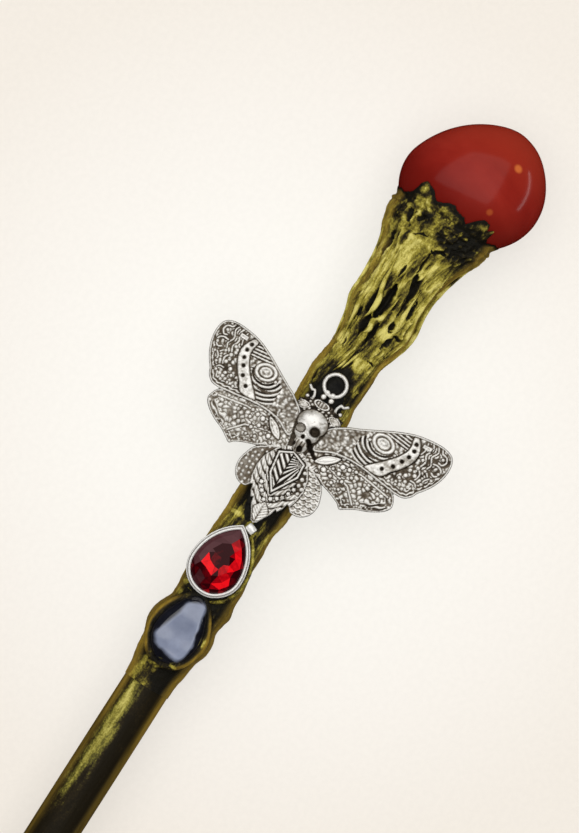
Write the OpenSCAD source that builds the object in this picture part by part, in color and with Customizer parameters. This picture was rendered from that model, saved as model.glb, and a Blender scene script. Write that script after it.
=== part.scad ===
// Magic wand: a hardwood dowel in a sculpted clay handle, with a polished stone pommel,
// a cast moth charm, a pear-cut gem in a bezel setting and a dark drop-shaped cabochon.
// The wand lies along X with its tip at -X and its pommel at +X; the moth faces +Z.
// A station is a distance from the shaft's tip, measured along the wand.

/* [Shaft] */
// Diameter of the painted hardwood dowel, a 3/8 inch size
dowel_d = 9.525; // [8:0.025:10]
// Length of the dowel, from its domed tip to the end hidden in the head, a 12 inch size
dowel_len = 304.8; // [300:0.1:310]
// Length of the dome at the tip
tip_dome = 4; // [2:0.5:6]
// How much thinner the dowel is sanded where the clay grips it, on the radius
key_depth = 0.3; // [0.25:0.05:0.4]

/* [Handle] */
// Station where the clay sleeve starts
sleeve_start = 209.2; // [207:0.1:211]
// Station where the sleeve ends and the flared cup begins
cup_start = 296; // [292:0.5:299]
// Station where the cup ends and its ragged rim begins
rim_start = 315.2; // [314.5:0.1:316]
// Glue film around the dowel and the pommel stone
glue_gap = 0.05; // [0.02:0.01:0.1]

/* [Pommel stone] */
// Station of the stone's widest section
stone_at = 323.3; // [322.5:0.1:324]
// Half width of the stone, side to side
stone_a = 13.8; // [13:0.1:14.2]
// Half thickness of the stone, front to back
stone_b = 11.2; // [10.8:0.1:12]
// Length of the stone above its widest section
stone_up = 14.5; // [13.5:0.1:15.5]
// Length of the stone below its widest section
stone_down = 12; // [11.5:0.1:12.4]
// Sideways lean of the stone, per unit of length
stone_lean = 0.15; // [0:0.01:0.2]

/* [Moth charm] */
// Station of the charm's own origin, at the middle of its body
moth_at = 261.8; // [260:0.1:263]
// Turn of the charm on the handle, in degrees
moth_turn = 1.2; // [0:0.1:2]
// Thickness of the charm's wings
wing_t = 1.1; // [0.8:0.1:1.4]
// Radius of the skull's dome
skull_r = 2.9; // [2.5:0.1:3.2]

/* [Gem and cabochon] */
// Station of the gem's widest section
gem_at = 235.7; // [235:0.1:236.5]
// Width of the gem, a 10 by 14 mm size
gem_w = 10; // [9:0.1:10.2]
// Length of the gem, from its rounded end to its point
gem_len = 14; // [13:0.1:14.4]
// Wall thickness of the bezel
bezel_t = 0.65; // [0.5:0.05:0.8]
// Station of the cabochon's widest section
cab_at = 221.2; // [220.8:0.1:221.6]
// Width of the cabochon
cab_w = 9.8; // [9:0.1:10]
// Length of the cabochon
cab_len = 13.2; // [12.5:0.1:13.4]
// Height of the cabochon's dome
cab_h = 4; // [3:0.1:4.5]

/* [Hidden] */

overall = stone_at + stone_up;
dowel_r = dowel_d / 2;
core_r = dowel_r - key_depth;
sides = 24;
eps = 0.02;
overlap = 1;

// Offset of the pommel stone's widest section to the -Y side.
stone_off = 1.55;
// The stone is a true ellipse below its widest section, and more pointed above it.
stone_n_up = 1.8;
stone_n_down = 2;
stone_bottom = stone_at - stone_down;
socket_floor = stone_bottom - 1.2;
// The handle's own sections are a little squarer than an ellipse.
handle_n = 2.2;

// Heights above the wand's axis at which the pieces on the front are bedded.
glue_t = 0.2;
seat_z = 4.95;
bed_z = seat_z + glue_t;
pad_z = 5.2;
moth_z = 6.45;
setting_h = 3.6;
cup_floor = 0.4;
girdle_z = bed_z + 3.1;
crown_h = 1.35;
gem_off = 0.85;
cab_off = 0.35;

// Handle sections: station, half width to +Y, half width to -Y, front height, back height.
HANDLE = [
    [sleeve_start, 4.85, 4.85, 4.85, 4.85],
    [213.0, 5.2, 5.0, 5.1, 5.1],
    [216.9, 5.9, 5.6, 6.0, 5.6],
    [220.7, 6.95, 6.65, 6.9, 6.0],
    [222.7, 7.0, 6.6, 7.0, 6.0],
    [224.6, 6.5, 6.0, 6.7, 5.9],
    [226.5, 5.6, 6.35, 6.4, 5.8],
    [230.4, 5.5, 6.3, 6.4, 5.8],
    [234.2, 5.9, 6.2, 6.5, 5.8],
    [238.1, 5.8, 5.6, 6.5, 5.8],
    [242.0, 5.8, 5.5, 6.4, 5.7],
    [245.8, 5.6, 5.2, 6.3, 5.7],
    [249.8, 5.7, 5.8, 6.3, 5.7],
    [257.8, 5.8, 5.9, 6.3, 5.7],
    [265.8, 5.9, 5.9, 6.3, 5.8],
    [272.8, 6.1, 5.8, 6.2, 5.8],
    [278.6, 6.5, 5.4, 6.1, 5.9],
    [284.4, 5.8, 5.6, 6.0, 5.9],
    [288.2, 6.0, 6.5, 6.2, 6.2],
    [292.1, 6.7, 7.3, 6.8, 6.8],
    [296.0, 7.5, 7.4, 7.2, 7.1],
    [299.8, 7.5, 6.95, 7.2, 7.2],
    [303.7, 7.9, 7.3, 7.5, 7.4],
    [307.5, 9.0, 8.5, 8.4, 8.2],
    [311.4, 10.5, 10.4, 9.5, 9.3],
    [rim_start, 11.2, 11.5, 9.9, 9.8]];

// Ragged rim: the angle round the stone, from -Y over the front to +Y and back, and the rim's height there.
RIM = [[0, 1.2], [15, 1.5], [28, 1.4], [37, 0.9], [44, 1.5], [49, 3.4], [54, 2.8], [58, 4.2], [64, 4.5], [69, 3.2],
       [73, 1.6], [79, 2.6], [85, 2.6], [91, 3.6], [97, 3.4], [102, 2.5], [108, 2.3], [113, 3.5], [118, 4.5],
       [123, 4.6], [128, 3.9], [132, 2.4], [138, 1.4], [150, 0.9], [165, 1.3], [180, 1.8], [195, 3.2], [210, 2.1],
       [222, 3.8], [236, 1.4], [250, 3.6], [262, 4.3], [276, 1.8], [290, 3.0], [304, 1.3], [318, 3.4], [332, 1.6],
       [346, 2.2], [360, 1.2]];

// Bark strands: each is a list of station and angle round the handle; 90 is the front, 0 is -Y.
STRANDS = [
    [[282, 96], [288, 88], [292, 78], [296, 72], [300, 78], [305, 84], [310, 92]],
    [[284, 118], [289, 108], [293, 104], [297, 110], [302, 112], [308, 108], [312, 100]],
    [[283, 68], [287, 62], [292, 52], [297, 56], [303, 60], [309, 64]],
    [[285, 132], [291, 136], [297, 128], [303, 132], [309, 126]],
    [[286, 40], [291, 34], [297, 38], [303, 34], [309, 42]],
    [[284, 160], [290, 168], [297, 162], [304, 166], [310, 156]],
    [[285, 12], [291, 8], [298, 14], [305, 6], [311, 14]],
    [[284, 200], [291, 194], [298, 202], [305, 196], [311, 204]],
    [[284, 236], [290, 244], [297, 238], [304, 242], [311, 232]],
    [[285, 276], [291, 268], [297, 274], [304, 266], [311, 278]],
    [[284, 316], [290, 322], [298, 314], [304, 320], [311, 310]]];
strand_w = 1.1;
strand_h = 0.55;

// Moth outlines, for the +Y side: sideways from the charm's middle, then along it towards the head.
FOREWING = [[2.7, 7.4], [5.6, 9.9], [8.2, 11.2], [11.6, 13.0], [14.3, 14.4], [17.2, 15.6], [20, 16.2], [22.8, 16.4],
            [24.8, 16.0], [25.9, 15.0], [26.3, 13.2], [26.1, 11.2], [25.4, 9.2], [24.4, 7.5], [23.4, 6.2],
            [22.8, 5.0], [21.6, 4.0], [19.9, 3.8], [18, 4.0], [15.5, 4.3], [12.5, 4.7], [9.5, 4.8], [6.2, 4.3],
            [2.6, 2.9]];
HINDWING = [[3, 3.6], [10, 5.2], [17, 4.8], [19.6, 3.4], [20.6, 2.2], [20.5, 1.0], [19.2, -0.2], [16.6, -1.8],
            [14, -3.2], [12.4, -4.0], [11.2, -3.2], [9.4, -2.5], [7.6, -1.7], [6, -1.1], [3.6, -0.4], [2, 1]];
LOBE = [[3.4, 0], [5.6, -1], [7.5, -2.4], [8.5, -4.2], [8.9, -6], [8.6, -7.8], [7.6, -9.2], [6.1, -9.7], [4.6, -9.2],
        [3.2, -6]];
ABDOMEN = [[0, 2], [2.2, 1.2], [3.6, -0.6], [4.6, -3], [4.7, -5.6], [4.4, -8], [3.5, -10.6], [2.2, -12.6],
           [0.9, -14.6], [0, -15]];
COLLAR = [[0, 11.6], [1.7, 11.5], [3.0, 10.6], [4.6, 10.3], [4.4, 9.3], [3.2, 8.4], [2.2, 4], [0, 3]];
BAND = [[18.6, 15.2], [19.7, 13.4], [19.9, 11.9], [19.5, 10.4], [18.5, 8.7], [17.0, 6.9], [15.6, 5.2], [12.4, 5.2],
        [13.0, 6.3], [14.5, 7.8], [16.4, 9.9], [17.6, 11.9], [17.8, 13.4], [17.5, 15.0]];
EYESPOT = [13.2, 11.0];
BAND_DOTS = [[18.5, 14.1], [18.8, 12.8], [18.5, 11.3], [17.8, 9.9], [16.9, 8.2], [15.3, 6.7]];
band_dot_r = 0.35;
bail_at = 15.7;
bail_r = 2.45;
bail_hole_r = 1.75;

// ---- curves ---------------------------------------------------------------------------------------------------

function last(v) = v[len(v) - 1];
function wrap(i, n) = (i + n) % n;

// Point on a Catmull-Rom span from b to c.
function span(a, b, c, d, t) =
    0.5 * ((2 * b) + (c - a) * t + (2 * a - 5 * b + 4 * c - d) * t * t + (3 * b - a - 3 * c + d) * t * t * t);

// Closed smooth curve through the points, with n steps a span.
function closed_curve(pts, n) =
    [for (i = [0 : len(pts) - 1], k = [0 : n - 1])
        span(pts[wrap(i - 1, len(pts))], pts[i], pts[wrap(i + 1, len(pts))], pts[wrap(i + 2, len(pts))], k / n)];

// Open smooth curve through the points.
function open_curve(pts, n) =
    concat([for (i = [0 : len(pts) - 2], k = [0 : n - 1])
        span(pts[max(i - 1, 0)], pts[i], pts[i + 1], pts[min(i + 2, len(pts) - 1)], k / n)], [last(pts)]);

// Smooth section of the handle at a station.
function section_in(rows, p, i) = (i >= len(rows) - 2 || p <= rows[i + 1][0])
    ? span(rows[max(i - 1, 0)], rows[i], rows[i + 1], rows[min(i + 2, len(rows) - 1)],
           (p - rows[i][0]) / (rows[i + 1][0] - rows[i][0]))
    : section_in(rows, p, i + 1);
function section(p) = section_in(HANDLE, p, 0);

// Cosine and sine, pushed out to a squarer section.
function squared(v, n) = sign(v) * pow(abs(v), 2 / n);

// Point on the handle's surface at a station, with angle 0 at -Y and 90 at the front, raised by lift.
function skin(p, angle, lift = 0) = let (
        s = section(p),
        c = squared(cos(angle), handle_n),
        h = squared(sin(angle), handle_n),
        half = c > 0 ? s[2] : s[1],
        tall = h > 0 ? s[3] : s[4])
    [p, -(half + lift) * c, (tall + lift) * h];

// The stone's share of its full width at a station.
function stone_share(p) = let (
        up = p > stone_at,
        d = abs(p - stone_at) / (up ? stone_up : stone_down),
        n = up ? stone_n_up : stone_n_down)
    d >= 1 ? 0 : pow(1 - pow(d, n), 1 / n);

// Point on the stone's surface at a station, raised by lift.
function stone_skin(p, angle, lift = 0) =
    [p, -(stone_off + stone_lean * (p - stone_at)) - (stone_a * stone_share(p) + lift) * cos(angle),
     (stone_b * stone_share(p) + lift) * sin(angle)];

// Height of the ragged rim at an angle.
function rim_height(angle) = lookup(angle, RIM);

// Pear outline: half width w, length to the point above the widest section, grown by g.
function pear(w, up, g, n) = let (
        arc_r = (w * w + up * up) / (2 * w),
        tip = sqrt(pow(arc_r + g, 2) - pow(arc_r - w, 2)),
        top = asin(tip / (arc_r + g)))
    concat([for (k = [0 : n]) let (t = top * k / n) [(arc_r + g) * cos(t) - (arc_r - w), (arc_r + g) * sin(t)]],
           [for (k = [1 : n]) let (t = top * (n - k) / n) [(arc_r - w) - (arc_r + g) * cos(t), (arc_r + g) * sin(t)]],
           [for (k = [1 : 2 * n - 1]) let (t = 180 + 180 * k / (2 * n)) [(w + g) * cos(t), (w + g) * sin(t)]]);

// Egg outline of the cabochon, with its narrow end towards the pommel, grown by g.
function egg(w, up, down, g, n) =
    [for (k = [0 : n - 1]) let (t = 360 * k / n, up_part = sin(t) > 0)
        [(w + g) * cos(t) * (up_part ? 1 - 0.22 * pow(sin(t), 2) : 1), ((up_part ? up : down) + g) * sin(t)]];

// ---- solids from rings ----------------------------------------------------------------------------------------

// Quads between rings of equal length; closed_end caps each end with a flat face.
function ring_faces(rings, n) =
    [for (r = [0 : rings - 2], k = [0 : n - 1]) let (a = r * n + k, b = r * n + (k + 1) % n)
        each [[a, b, a + n], [b, b + n, a + n]]];

module ring_solid(rings) {
    n = len(rings[0]);
    m = len(rings);
    polyhedron(points = [for (r = rings) each r],
               faces = concat(ring_faces(m, n), [[for (k = [n - 1 : -1 : 0]) k]],
                              [[for (k = [0 : n - 1]) (m - 1) * n + k]]));
}

// A ring solid whose last ring meets its first, as in a hoop.
module hoop_solid(rings) {
    n = len(rings[0]);
    m = len(rings);
    polyhedron(points = [for (r = rings) each r],
               faces = [for (r = [0 : m - 1], k = [0 : n - 1])
                   let (a = r * n + k, b = r * n + (k + 1) % n, c = ((r + 1) % m) * n + k,
                        d = ((r + 1) % m) * n + (k + 1) % n)
                   each [[a, b, c], [b, d, c]]]);
}

// A flat shape on the wand's front: drawn with X to the -Y side and Y towards the pommel.
module on_front(station, z, height) {
    translate([station, 0, z]) rotate([0, 0, -90]) linear_extrude(height) children();
}

// Places a shape drawn along the wand's axis, with Z from the tip towards the pommel.
module along_axis(station) { translate([station, 0, 0]) rotate([0, 90, 0]) children(); }

module in_row_frame() { translate([-overall / 2, 0, stone_b]) children(); }

// ---- shaft and handle -----------------------------------------------------------------------------------------

module shaft() {
    dome = [for (t = [0 : 15 : 90]) [dowel_r * sin(t), tip_dome * (1 - cos(t))]];
    color("#33290f") in_row_frame() along_axis(0) rotate_extrude($fn = 96)
        polygon(concat(dome, [[dowel_r, sleeve_start], [core_r, sleeve_start], [core_r, dowel_len], [0, dowel_len]]));
}

module dowel_bore(from, to) {
    along_axis(from) cylinder(h = to - from, r = core_r + glue_gap, $fn = 96);
}

module handle_length(from, to, rings) {
    ring_solid([for (k = [0 : rings]) let (p = from + (to - from) * k / rings)
        [for (j = [0 : sides - 1]) skin(p, 360 * j / sides)]]);
}

module moth_pad_outline() {
    half = [[0, 28.2], [2.6, 27.4], [3.7, 24.6], [3.4, 21], [4.2, 14], [4.2, 4], [3.2, -3.4], [1.8, -6.4], [0, -7.2]];
    whole = concat(half, [for (k = [len(half) - 2 : -1 : 1]) [-half[k][0], half[k][1]]]);
    polygon(closed_curve(whole, 3));
}

module setting_outline(grow) {
    translate([-gem_off, 0]) polygon(pear(gem_w / 2, gem_len - gem_w / 2, bezel_t + grow, 12));
}

module cabochon_outline(grow) {
    up = cab_len * 0.56;
    translate([-cab_off, 0]) polygon(egg(cab_w / 2, up, cab_len - up, grow, 48));
}

lip_w = 0.75;
collar_w = 0.9;
lip_z = 5.7;
collar_z = 5.5;

module grip_sleeve() {
    color("#8f8430") in_row_frame() difference() {
        handle_length(sleeve_start, cup_start, 44);
        dowel_bore(sleeve_start - overlap, cup_start + overlap);
        on_front(moth_at - 9.5, pad_z, 6) moth_pad_outline();
        on_front(gem_at, seat_z, 6) setting_outline(eps);
        on_front(gem_at, lip_z, 6) lip_outline();
        on_front(cab_at, seat_z, 6) cabochon_outline(eps);
        on_front(cab_at, collar_z, 6) cabochon_outline(collar_w + 0.12);
    }
}

// The socket follows the stone with a gap, down to a flat floor.
function socket_ring(p, gap) = let (q = max(p, stone_bottom + 0.3))
    [for (j = [0 : sides - 1]) let (s = stone_skin(q, 360 * j / sides, gap)) [p, s[1], s[2]]];

module pommel_cup() {
    outer = [for (k = [0 : 14]) let (p = cup_start + (rim_start - cup_start) * k / 14)
        [for (j = [0 : sides - 1]) skin(p, 360 * j / sides)]];
    socket = [for (k = [0 : 6]) socket_ring(rim_start - (rim_start - socket_floor) * sin(15 * k), 0.2)];
    color("#8f8430") in_row_frame() difference() {
        ring_solid(concat(outer, socket));
        dowel_bore(cup_start - overlap, dowel_len + glue_gap);
    }
}

module cup_rim() {
    steps = 120;
    inner_gap = 0.08;
    color("#6f6a2c") in_row_frame() hoop_solid([for (j = [0 : steps - 1])
        let (angle = 360 * j / steps, h = rim_height(angle))
        concat([stone_skin(rim_start, angle, 1.0)],
               [for (k = [1 : 3]) stone_skin(rim_start + h * k / 3, angle, 0.95 - 0.15 * k)],
               [for (k = [0 : 3]) stone_skin(rim_start + h * (3 - k) / 3, angle, inner_gap)])]);
}

module strand(route) {
    path = open_curve(route, 3);
    n = len(path);
    ring_solid([for (i = [0 : n - 1])
        let (p = path[i][0], angle = path[i][1], girth = norm([skin(p, angle)[1], skin(p, angle)[2]]),
             fade = min(1, 0.25 + 3 * min(i, n - 1 - i) / n), half = strand_w / 2 * fade / girth * 180 / PI)
        [for (q = [[-1, 0.03], [-0.7, 0.7], [0, 1], [0.7, 0.7], [1, 0.03]])
            skin(p, angle + q[0] * half, q[1] * strand_h * fade + eps)]]);
}

module bark_strands() { color("#b3a64a") in_row_frame() for (route = STRANDS) strand(route); }

// ---- pommel ---------------------------------------------------------------------------------------------------

module pommel_stone() {
    rows = 20;
    around = 32;
    color("#8c1a12") in_row_frame() ring_solid([for (i = [0 : rows])
        let (t = -88.5 + 177 * i / rows, p = stone_at + (t > 0 ? stone_up : stone_down) * sin(t))
        [for (j = [0 : around - 1]) stone_skin(p, 360 * j / around)]]);
}

module pommel_glue() {
    color("#d8cfa8") in_row_frame()
        ring_solid([for (p = [socket_floor + glue_gap, stone_bottom - glue_gap]) socket_ring(p, 0.1)]);
}

// ---- moth charm -----------------------------------------------------------------------------------------------

// The charm's own frame, with X to the -Y side and Y towards the head. Its turn moves the wing tips sideways,
// and the shift keeps them centred on the wand.
module at_moth(z) {
    shift = 12.9 * sin(moth_turn);
    translate([moth_at, -shift, moth_z + z]) rotate([0, 0, -90 + moth_turn]) children();
}

module on_moth(z, height) { at_moth(z) linear_extrude(height) children(); }

module both_sides() {
    children();
    mirror([1, 0]) children();
}

// Half of an outline that starts and ends on the middle line, reaching just past it.
module half_outline(points) {
    polygon(concat(open_curve(points, 3), [[-eps, last(points)[1]], [-eps, points[0][1]]]));
}

module moth_wings() {
    fore_z = 0.5;
    relief = 0.25;
    on_moth(0, wing_t) both_sides() polygon(closed_curve(HINDWING, 3));
    on_moth(0, wing_t * 0.9) both_sides() polygon(closed_curve(LOBE, 3));
    on_moth(fore_z, wing_t) both_sides() polygon(closed_curve(FOREWING, 3));
    on_moth(fore_z + wing_t - eps, relief) both_sides() difference() {
        polygon(closed_curve(BAND, 3));
        for (dot = BAND_DOTS) translate(dot) circle(r = band_dot_r, $fn = 16);
    }
    on_moth(fore_z + wing_t - eps, relief) both_sides() translate(EYESPOT) difference() {
        circle(r = 2.1, $fn = 48);
        circle(r = 1.4, $fn = 48);
    }
    on_moth(fore_z + wing_t - eps, relief) both_sides() translate(EYESPOT) circle(r = 0.8, $fn = 32);
}

module moth_body() {
    steps = [[0, 1.5, 1], [1.5, 0.5, 0.72], [2, 0.4, 0.42]];
    for (s = steps) on_moth(s[0], s[1] + eps) both_sides() scale(s[2]) half_outline(ABDOMEN);
    on_moth(0, 2.2) both_sides() half_outline(COLLAR);
    on_moth(0, 1.1) difference() {
        translate([0, bail_at]) circle(r = bail_r, $fn = 64);
        translate([0, bail_at]) circle(r = bail_hole_r, $fn = 64);
    }
    on_moth(0, 1.6) both_sides() {
        translate([-eps, 11]) square([0.8, 3]);
        translate([1.0, 12.7]) circle(r = 0.6, $fn = 24);
        polygon([[2.4, 10], [3.3, 10], [3.3, 12.6], [4.4, 13], [4.2, 13.5], [2.8, 13.2]]);
    }
}

module moth_skull() {
    at_moth(0) difference() {
        union() {
            translate([0, 6.6, 0.9]) sphere(r = skull_r, $fn = 48);
            translate([0, 3.1, 0.2]) cylinder(h = 2.9, r = 1.55, $fn = 48);
        }
        translate([0, 5, -5]) cube([12, 12, 10], center = true);
        for (side = [-1, 1]) translate([side * 1.35, 5.4, 3.4]) sphere(r = 0.95, $fn = 32);
        translate([0, 3.6, 3.3]) sphere(r = 0.55, $fn = 24);
    }
}

module moth_charm() {
    color("#b9b9bd") in_row_frame() union() {
        moth_wings();
        moth_body();
        moth_skull();
    }
}

module moth_glue() {
    color("#15130f") in_row_frame() on_front(moth_at - 9.5, pad_z, moth_z - pad_z) moth_pad_outline();
}

// ---- gem in its setting ---------------------------------------------------------------------------------------

module gem_outline(grow) {
    translate([-gem_off, 0]) polygon(pear(gem_w / 2, gem_len - gem_w / 2, grow, 12));
}

module gem_setting() {
    ledge_z = girdle_z - 0.35;
    color("#c9c9cc") in_row_frame() {
        difference() {
            on_front(gem_at, bed_z, setting_h) setting_outline(0);
            on_front(gem_at, bed_z + cup_floor, setting_h) gem_outline(-0.5);
            on_front(gem_at, ledge_z, setting_h) gem_outline(eps);
        }
        // A short tube soldered across the point, which a chain would run through.
        translate([gem_at + gem_len - gem_w / 2 + bezel_t + 0.6, gem_off - 0.3, girdle_z - 1.2])
            rotate([90, 0, -25]) difference() {
                cylinder(h = 1.5, r = 0.75, center = true, $fn = 48);
                cylinder(h = 2, r = 0.35, center = true, $fn = 48);
            }
    }
}

// Facets between three outlines: the table, the girdle and the culet line.
module gem() {
    up = gem_len - gem_w / 2;
    girdle = pear(gem_w / 2 - eps, up, 0, 4);
    table = [for (q = pear(gem_w / 2 - eps, up, 0, 2)) [q[0] * 0.56, q[1] * 0.56 + 0.3]];
    pavilion_h = girdle_z - bed_z - cup_floor - 0.25;
    color("#a80b12") in_row_frame() translate([gem_at, gem_off, girdle_z]) rotate([0, 0, -90]) hull() {
        linear_extrude(0.12) polygon(girdle);
        translate([0, 0, crown_h - 0.05]) linear_extrude(0.05) polygon(table);
        translate([0, 0.4, -pavilion_h]) linear_extrude(0.05) square([0.3, 1.6], center = true);
    }
}

module gem_glue() {
    color("#7d6a60") in_row_frame() on_front(gem_at, bed_z + cup_floor, 0.2) gem_outline(-0.52);
}

module setting_glue() { color("#15130f") in_row_frame() on_front(gem_at, seat_z, glue_t) setting_outline(-0.3); }

// The clay lip beside the bezel, on the -Y side only.
module lip_outline() {
    intersection() {
        setting_outline(lip_w);
        polygon([[-2.5, -8], [9, -8], [9, 9], [2.2, 9], [-0.4, 0]]);
    }
}

module setting_lip() {
    color("#8f8430") in_row_frame() on_front(gem_at, lip_z, 1.2) difference() {
        lip_outline();
        setting_outline(eps);
    }
}

// ---- cabochon -------------------------------------------------------------------------------------------------

module cabochon() {
    up = cab_len * 0.56;
    base = 0.6;
    levels = 7;
    rings = concat(
        [[for (q = egg(cab_w / 2, up, cab_len - up, -0.15, 36)) [q[0], q[1], 0]]],
        [for (k = [0 : levels]) let (t = 88 * k / levels)
            [for (q = egg(cab_w / 2, up, cab_len - up, 0, 36))
                [q[0] * cos(t), q[1] * cos(t), base + (cab_h - base) * sin(t)]]]);
    color("#1b1c22") in_row_frame() translate([cab_at, cab_off, bed_z]) rotate([0, 0, -90]) ring_solid(rings);
}

module cabochon_glue() { color("#15130f") in_row_frame() on_front(cab_at, seat_z, glue_t) cabochon_outline(-0.4); }

// A rounded roll of clay pressed round the cabochon: each profile point is its distance out and its height.
module cabochon_collar() {
    profile = [[0.05, 0], [collar_w, 0], [collar_w + 0.1, 0.7], [0.75, 1.35], [0.45, 1.6], [0.15, 1.35], [0.05, 0.7]];
    up = cab_len * 0.56;
    loops = [for (q = profile) [for (c = egg(cab_w / 2, up, cab_len - up, q[0], 48)) [c[0], c[1], q[1]]]];
    color("#6f6a2c") in_row_frame() translate([cab_at, cab_off, collar_z]) rotate([0, 0, -90])
        hoop_solid([for (k = [0 : 47]) [for (loop = loops) loop[k]]]);
}

shaft();
grip_sleeve();
pommel_cup();
cup_rim();
bark_strands();
pommel_stone();
pommel_glue();
moth_charm();
moth_glue();
gem_setting();
gem();
gem_glue();
setting_glue();
setting_lip();
cabochon();
cabochon_glue();
cabochon_collar();
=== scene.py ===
"""Looks for the magic wand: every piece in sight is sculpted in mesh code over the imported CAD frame.

Lengths are in millimetres along the wand (s), across it (t, to the -Y side) and above its axis (h), until
place() turns them into the frame's own metres. s counts from a point 191.8 mm above the shaft's tip.
"""
import math

import bpy
import numpy as np
from mathutils import Matrix, Vector


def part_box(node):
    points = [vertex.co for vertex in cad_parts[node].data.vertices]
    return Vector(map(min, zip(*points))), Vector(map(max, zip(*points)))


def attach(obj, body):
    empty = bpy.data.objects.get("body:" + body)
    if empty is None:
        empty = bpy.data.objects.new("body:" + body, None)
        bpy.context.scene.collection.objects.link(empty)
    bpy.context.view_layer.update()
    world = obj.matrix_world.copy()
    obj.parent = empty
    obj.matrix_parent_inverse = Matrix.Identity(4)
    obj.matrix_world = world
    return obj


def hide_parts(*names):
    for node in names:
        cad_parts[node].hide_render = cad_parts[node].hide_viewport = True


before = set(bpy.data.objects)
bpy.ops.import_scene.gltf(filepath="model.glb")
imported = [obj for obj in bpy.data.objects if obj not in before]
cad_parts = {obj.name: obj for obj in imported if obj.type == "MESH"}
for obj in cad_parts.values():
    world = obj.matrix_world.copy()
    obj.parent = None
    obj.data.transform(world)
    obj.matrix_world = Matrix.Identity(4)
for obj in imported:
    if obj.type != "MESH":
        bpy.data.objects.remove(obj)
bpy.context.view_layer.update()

MM = 0.001
S_OF_TIP = -191.8
shaft_low, shaft_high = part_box("shaft")
AXIS_Z = (shaft_low.z + shaft_high.z) / 2
ORIGIN_X = shaft_low.x - S_OF_TIP * MM


def place(s, t, h):
    """Points in the shared frame, in metres."""
    s, t, h = np.broadcast_arrays(np.asarray(s, float), t, h)
    return np.stack([ORIGIN_X + s * MM, -t * MM, AXIS_Z + h * MM], -1)


# ---- numbers and noise -----------------------------------------------------------------------------------

def smooth(low, high, x):
    """0 below low, 1 above high and a smooth step between them."""
    x = np.clip((np.asarray(x, float) - low) / (high - low), 0, 1)
    return x * x * (3 - 2 * x)


def bump(x, centre, half_width):
    """A smooth hump of height 1."""
    return 1 - smooth(0, half_width, np.abs(x - centre))


def hashed(ix, iy, iz, seed):
    """A fixed pseudo-random number from -1 to 1 for each lattice point."""
    with np.errstate(over="ignore"):
        n = (ix.astype(np.uint32) * np.uint32(0x9E3779B1)) ^ (iy.astype(np.uint32) * np.uint32(0x85EBCA77))
        n ^= (iz.astype(np.uint32) * np.uint32(0xC2B2AE3D)) ^ np.uint32((seed * 0x27D4EB2F) & 0xFFFFFFFF)
        n ^= n >> np.uint32(15)
        n *= np.uint32(0x2C1B3C6D)
        n ^= n >> np.uint32(12)
        n *= np.uint32(0x297A2D39)
        n ^= n >> np.uint32(15)
    return n.astype(np.float64) / 2147483647.5 - 1


def noise(x, y, z=0.0, seed=0):
    """Smooth value noise from -1 to 1, one feature a unit."""
    x, y, z = np.broadcast_arrays(np.asarray(x, float), np.asarray(y, float), np.asarray(z, float))
    base = [np.floor(q).astype(np.int64) for q in (x, y, z)]
    part = [q - b for q, b in zip((x, y, z), base)]
    part = [f * f * f * (f * (6 * f - 15) + 10) for f in part]
    total = np.zeros(x.shape)
    for corner in range(8):
        bits = [(corner >> k) & 1 for k in range(3)]
        weight = np.ones(x.shape)
        for f, b in zip(part, bits):
            weight = weight * (f if b else 1 - f)
        total += weight * hashed(base[0] + bits[0], base[1] + bits[1], base[2] + bits[2], seed)
    return total


def layered(shape, x, y, z, octaves, seed, finer, fainter, stride):
    """The mean of several octaves of noise, each one finer and fainter, passed through a shape."""
    total, size = 0.0, 0.0
    for k in range(octaves):
        f, a = finer ** k, fainter ** k
        total = total + a * shape(noise(x * f, y * f, np.asarray(z) * f, seed + stride * k))
        size += a
    return total / size


def fbm(x, y, z=0.0, octaves=4, seed=0):
    """Cloudy noise round 0."""
    return layered(lambda n: n, x, y, z, octaves, seed, 2.03, 0.5, 17)


def ridges(x, y, z=0.0, octaves=3, seed=0):
    """Sharp crests at 1 with valleys near 0."""
    return layered(lambda n: (1 - np.abs(n)) ** 2, x, y, z, octaves, seed, 2.1, 0.55, 31)


def stripes(x, period):
    """Even soft stripes, from 0 to 1 and back once a period."""
    return 0.5 + 0.5 * np.cos(2 * np.pi * x / period)


def full_turn(n):
    """n even angles round a circle."""
    return np.linspace(0, 2 * np.pi, n, endpoint=False)


def dome_height(r, radius):
    """1 in the middle of a round dome, 0 at its radius and past it."""
    return np.sqrt(np.clip(1 - (r / radius) ** 2, 0, 1))


def cells(x, y, seed=0, jitter=0.8):
    """Distances to the nearest and second nearest of one jittered point a unit square."""
    ix, iy = np.floor(x).astype(np.int64), np.floor(y).astype(np.int64)
    first, second = np.full(x.shape, 9.0), np.full(x.shape, 9.0)
    zero = np.zeros_like(ix)
    for dx in (-1, 0, 1):
        for dy in (-1, 0, 1):
            px = ix + dx + 0.5 + 0.5 * jitter * hashed(ix + dx, iy + dy, zero, seed)
            py = iy + dy + 0.5 + 0.5 * jitter * hashed(ix + dx, iy + dy, zero, seed + 101)
            d = np.hypot(px - x, py - y)
            second = np.minimum(second, np.maximum(first, d))
            first = np.minimum(first, d)
    return first, second


def scales(x, y):
    """How far inside its scale each point is. Round scales overlap, one a unit square, tips towards +y."""
    radius = 0.74
    row = np.floor(y)
    shift = 0.5 * (row % 2)
    r = np.hypot(x - shift - np.round(x - shift), y - row)
    shift = 0.5 - shift
    under = np.hypot(x - shift - np.round(x - shift), y - row - 1)
    return np.where(r < radius, radius - r, radius - under)


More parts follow.
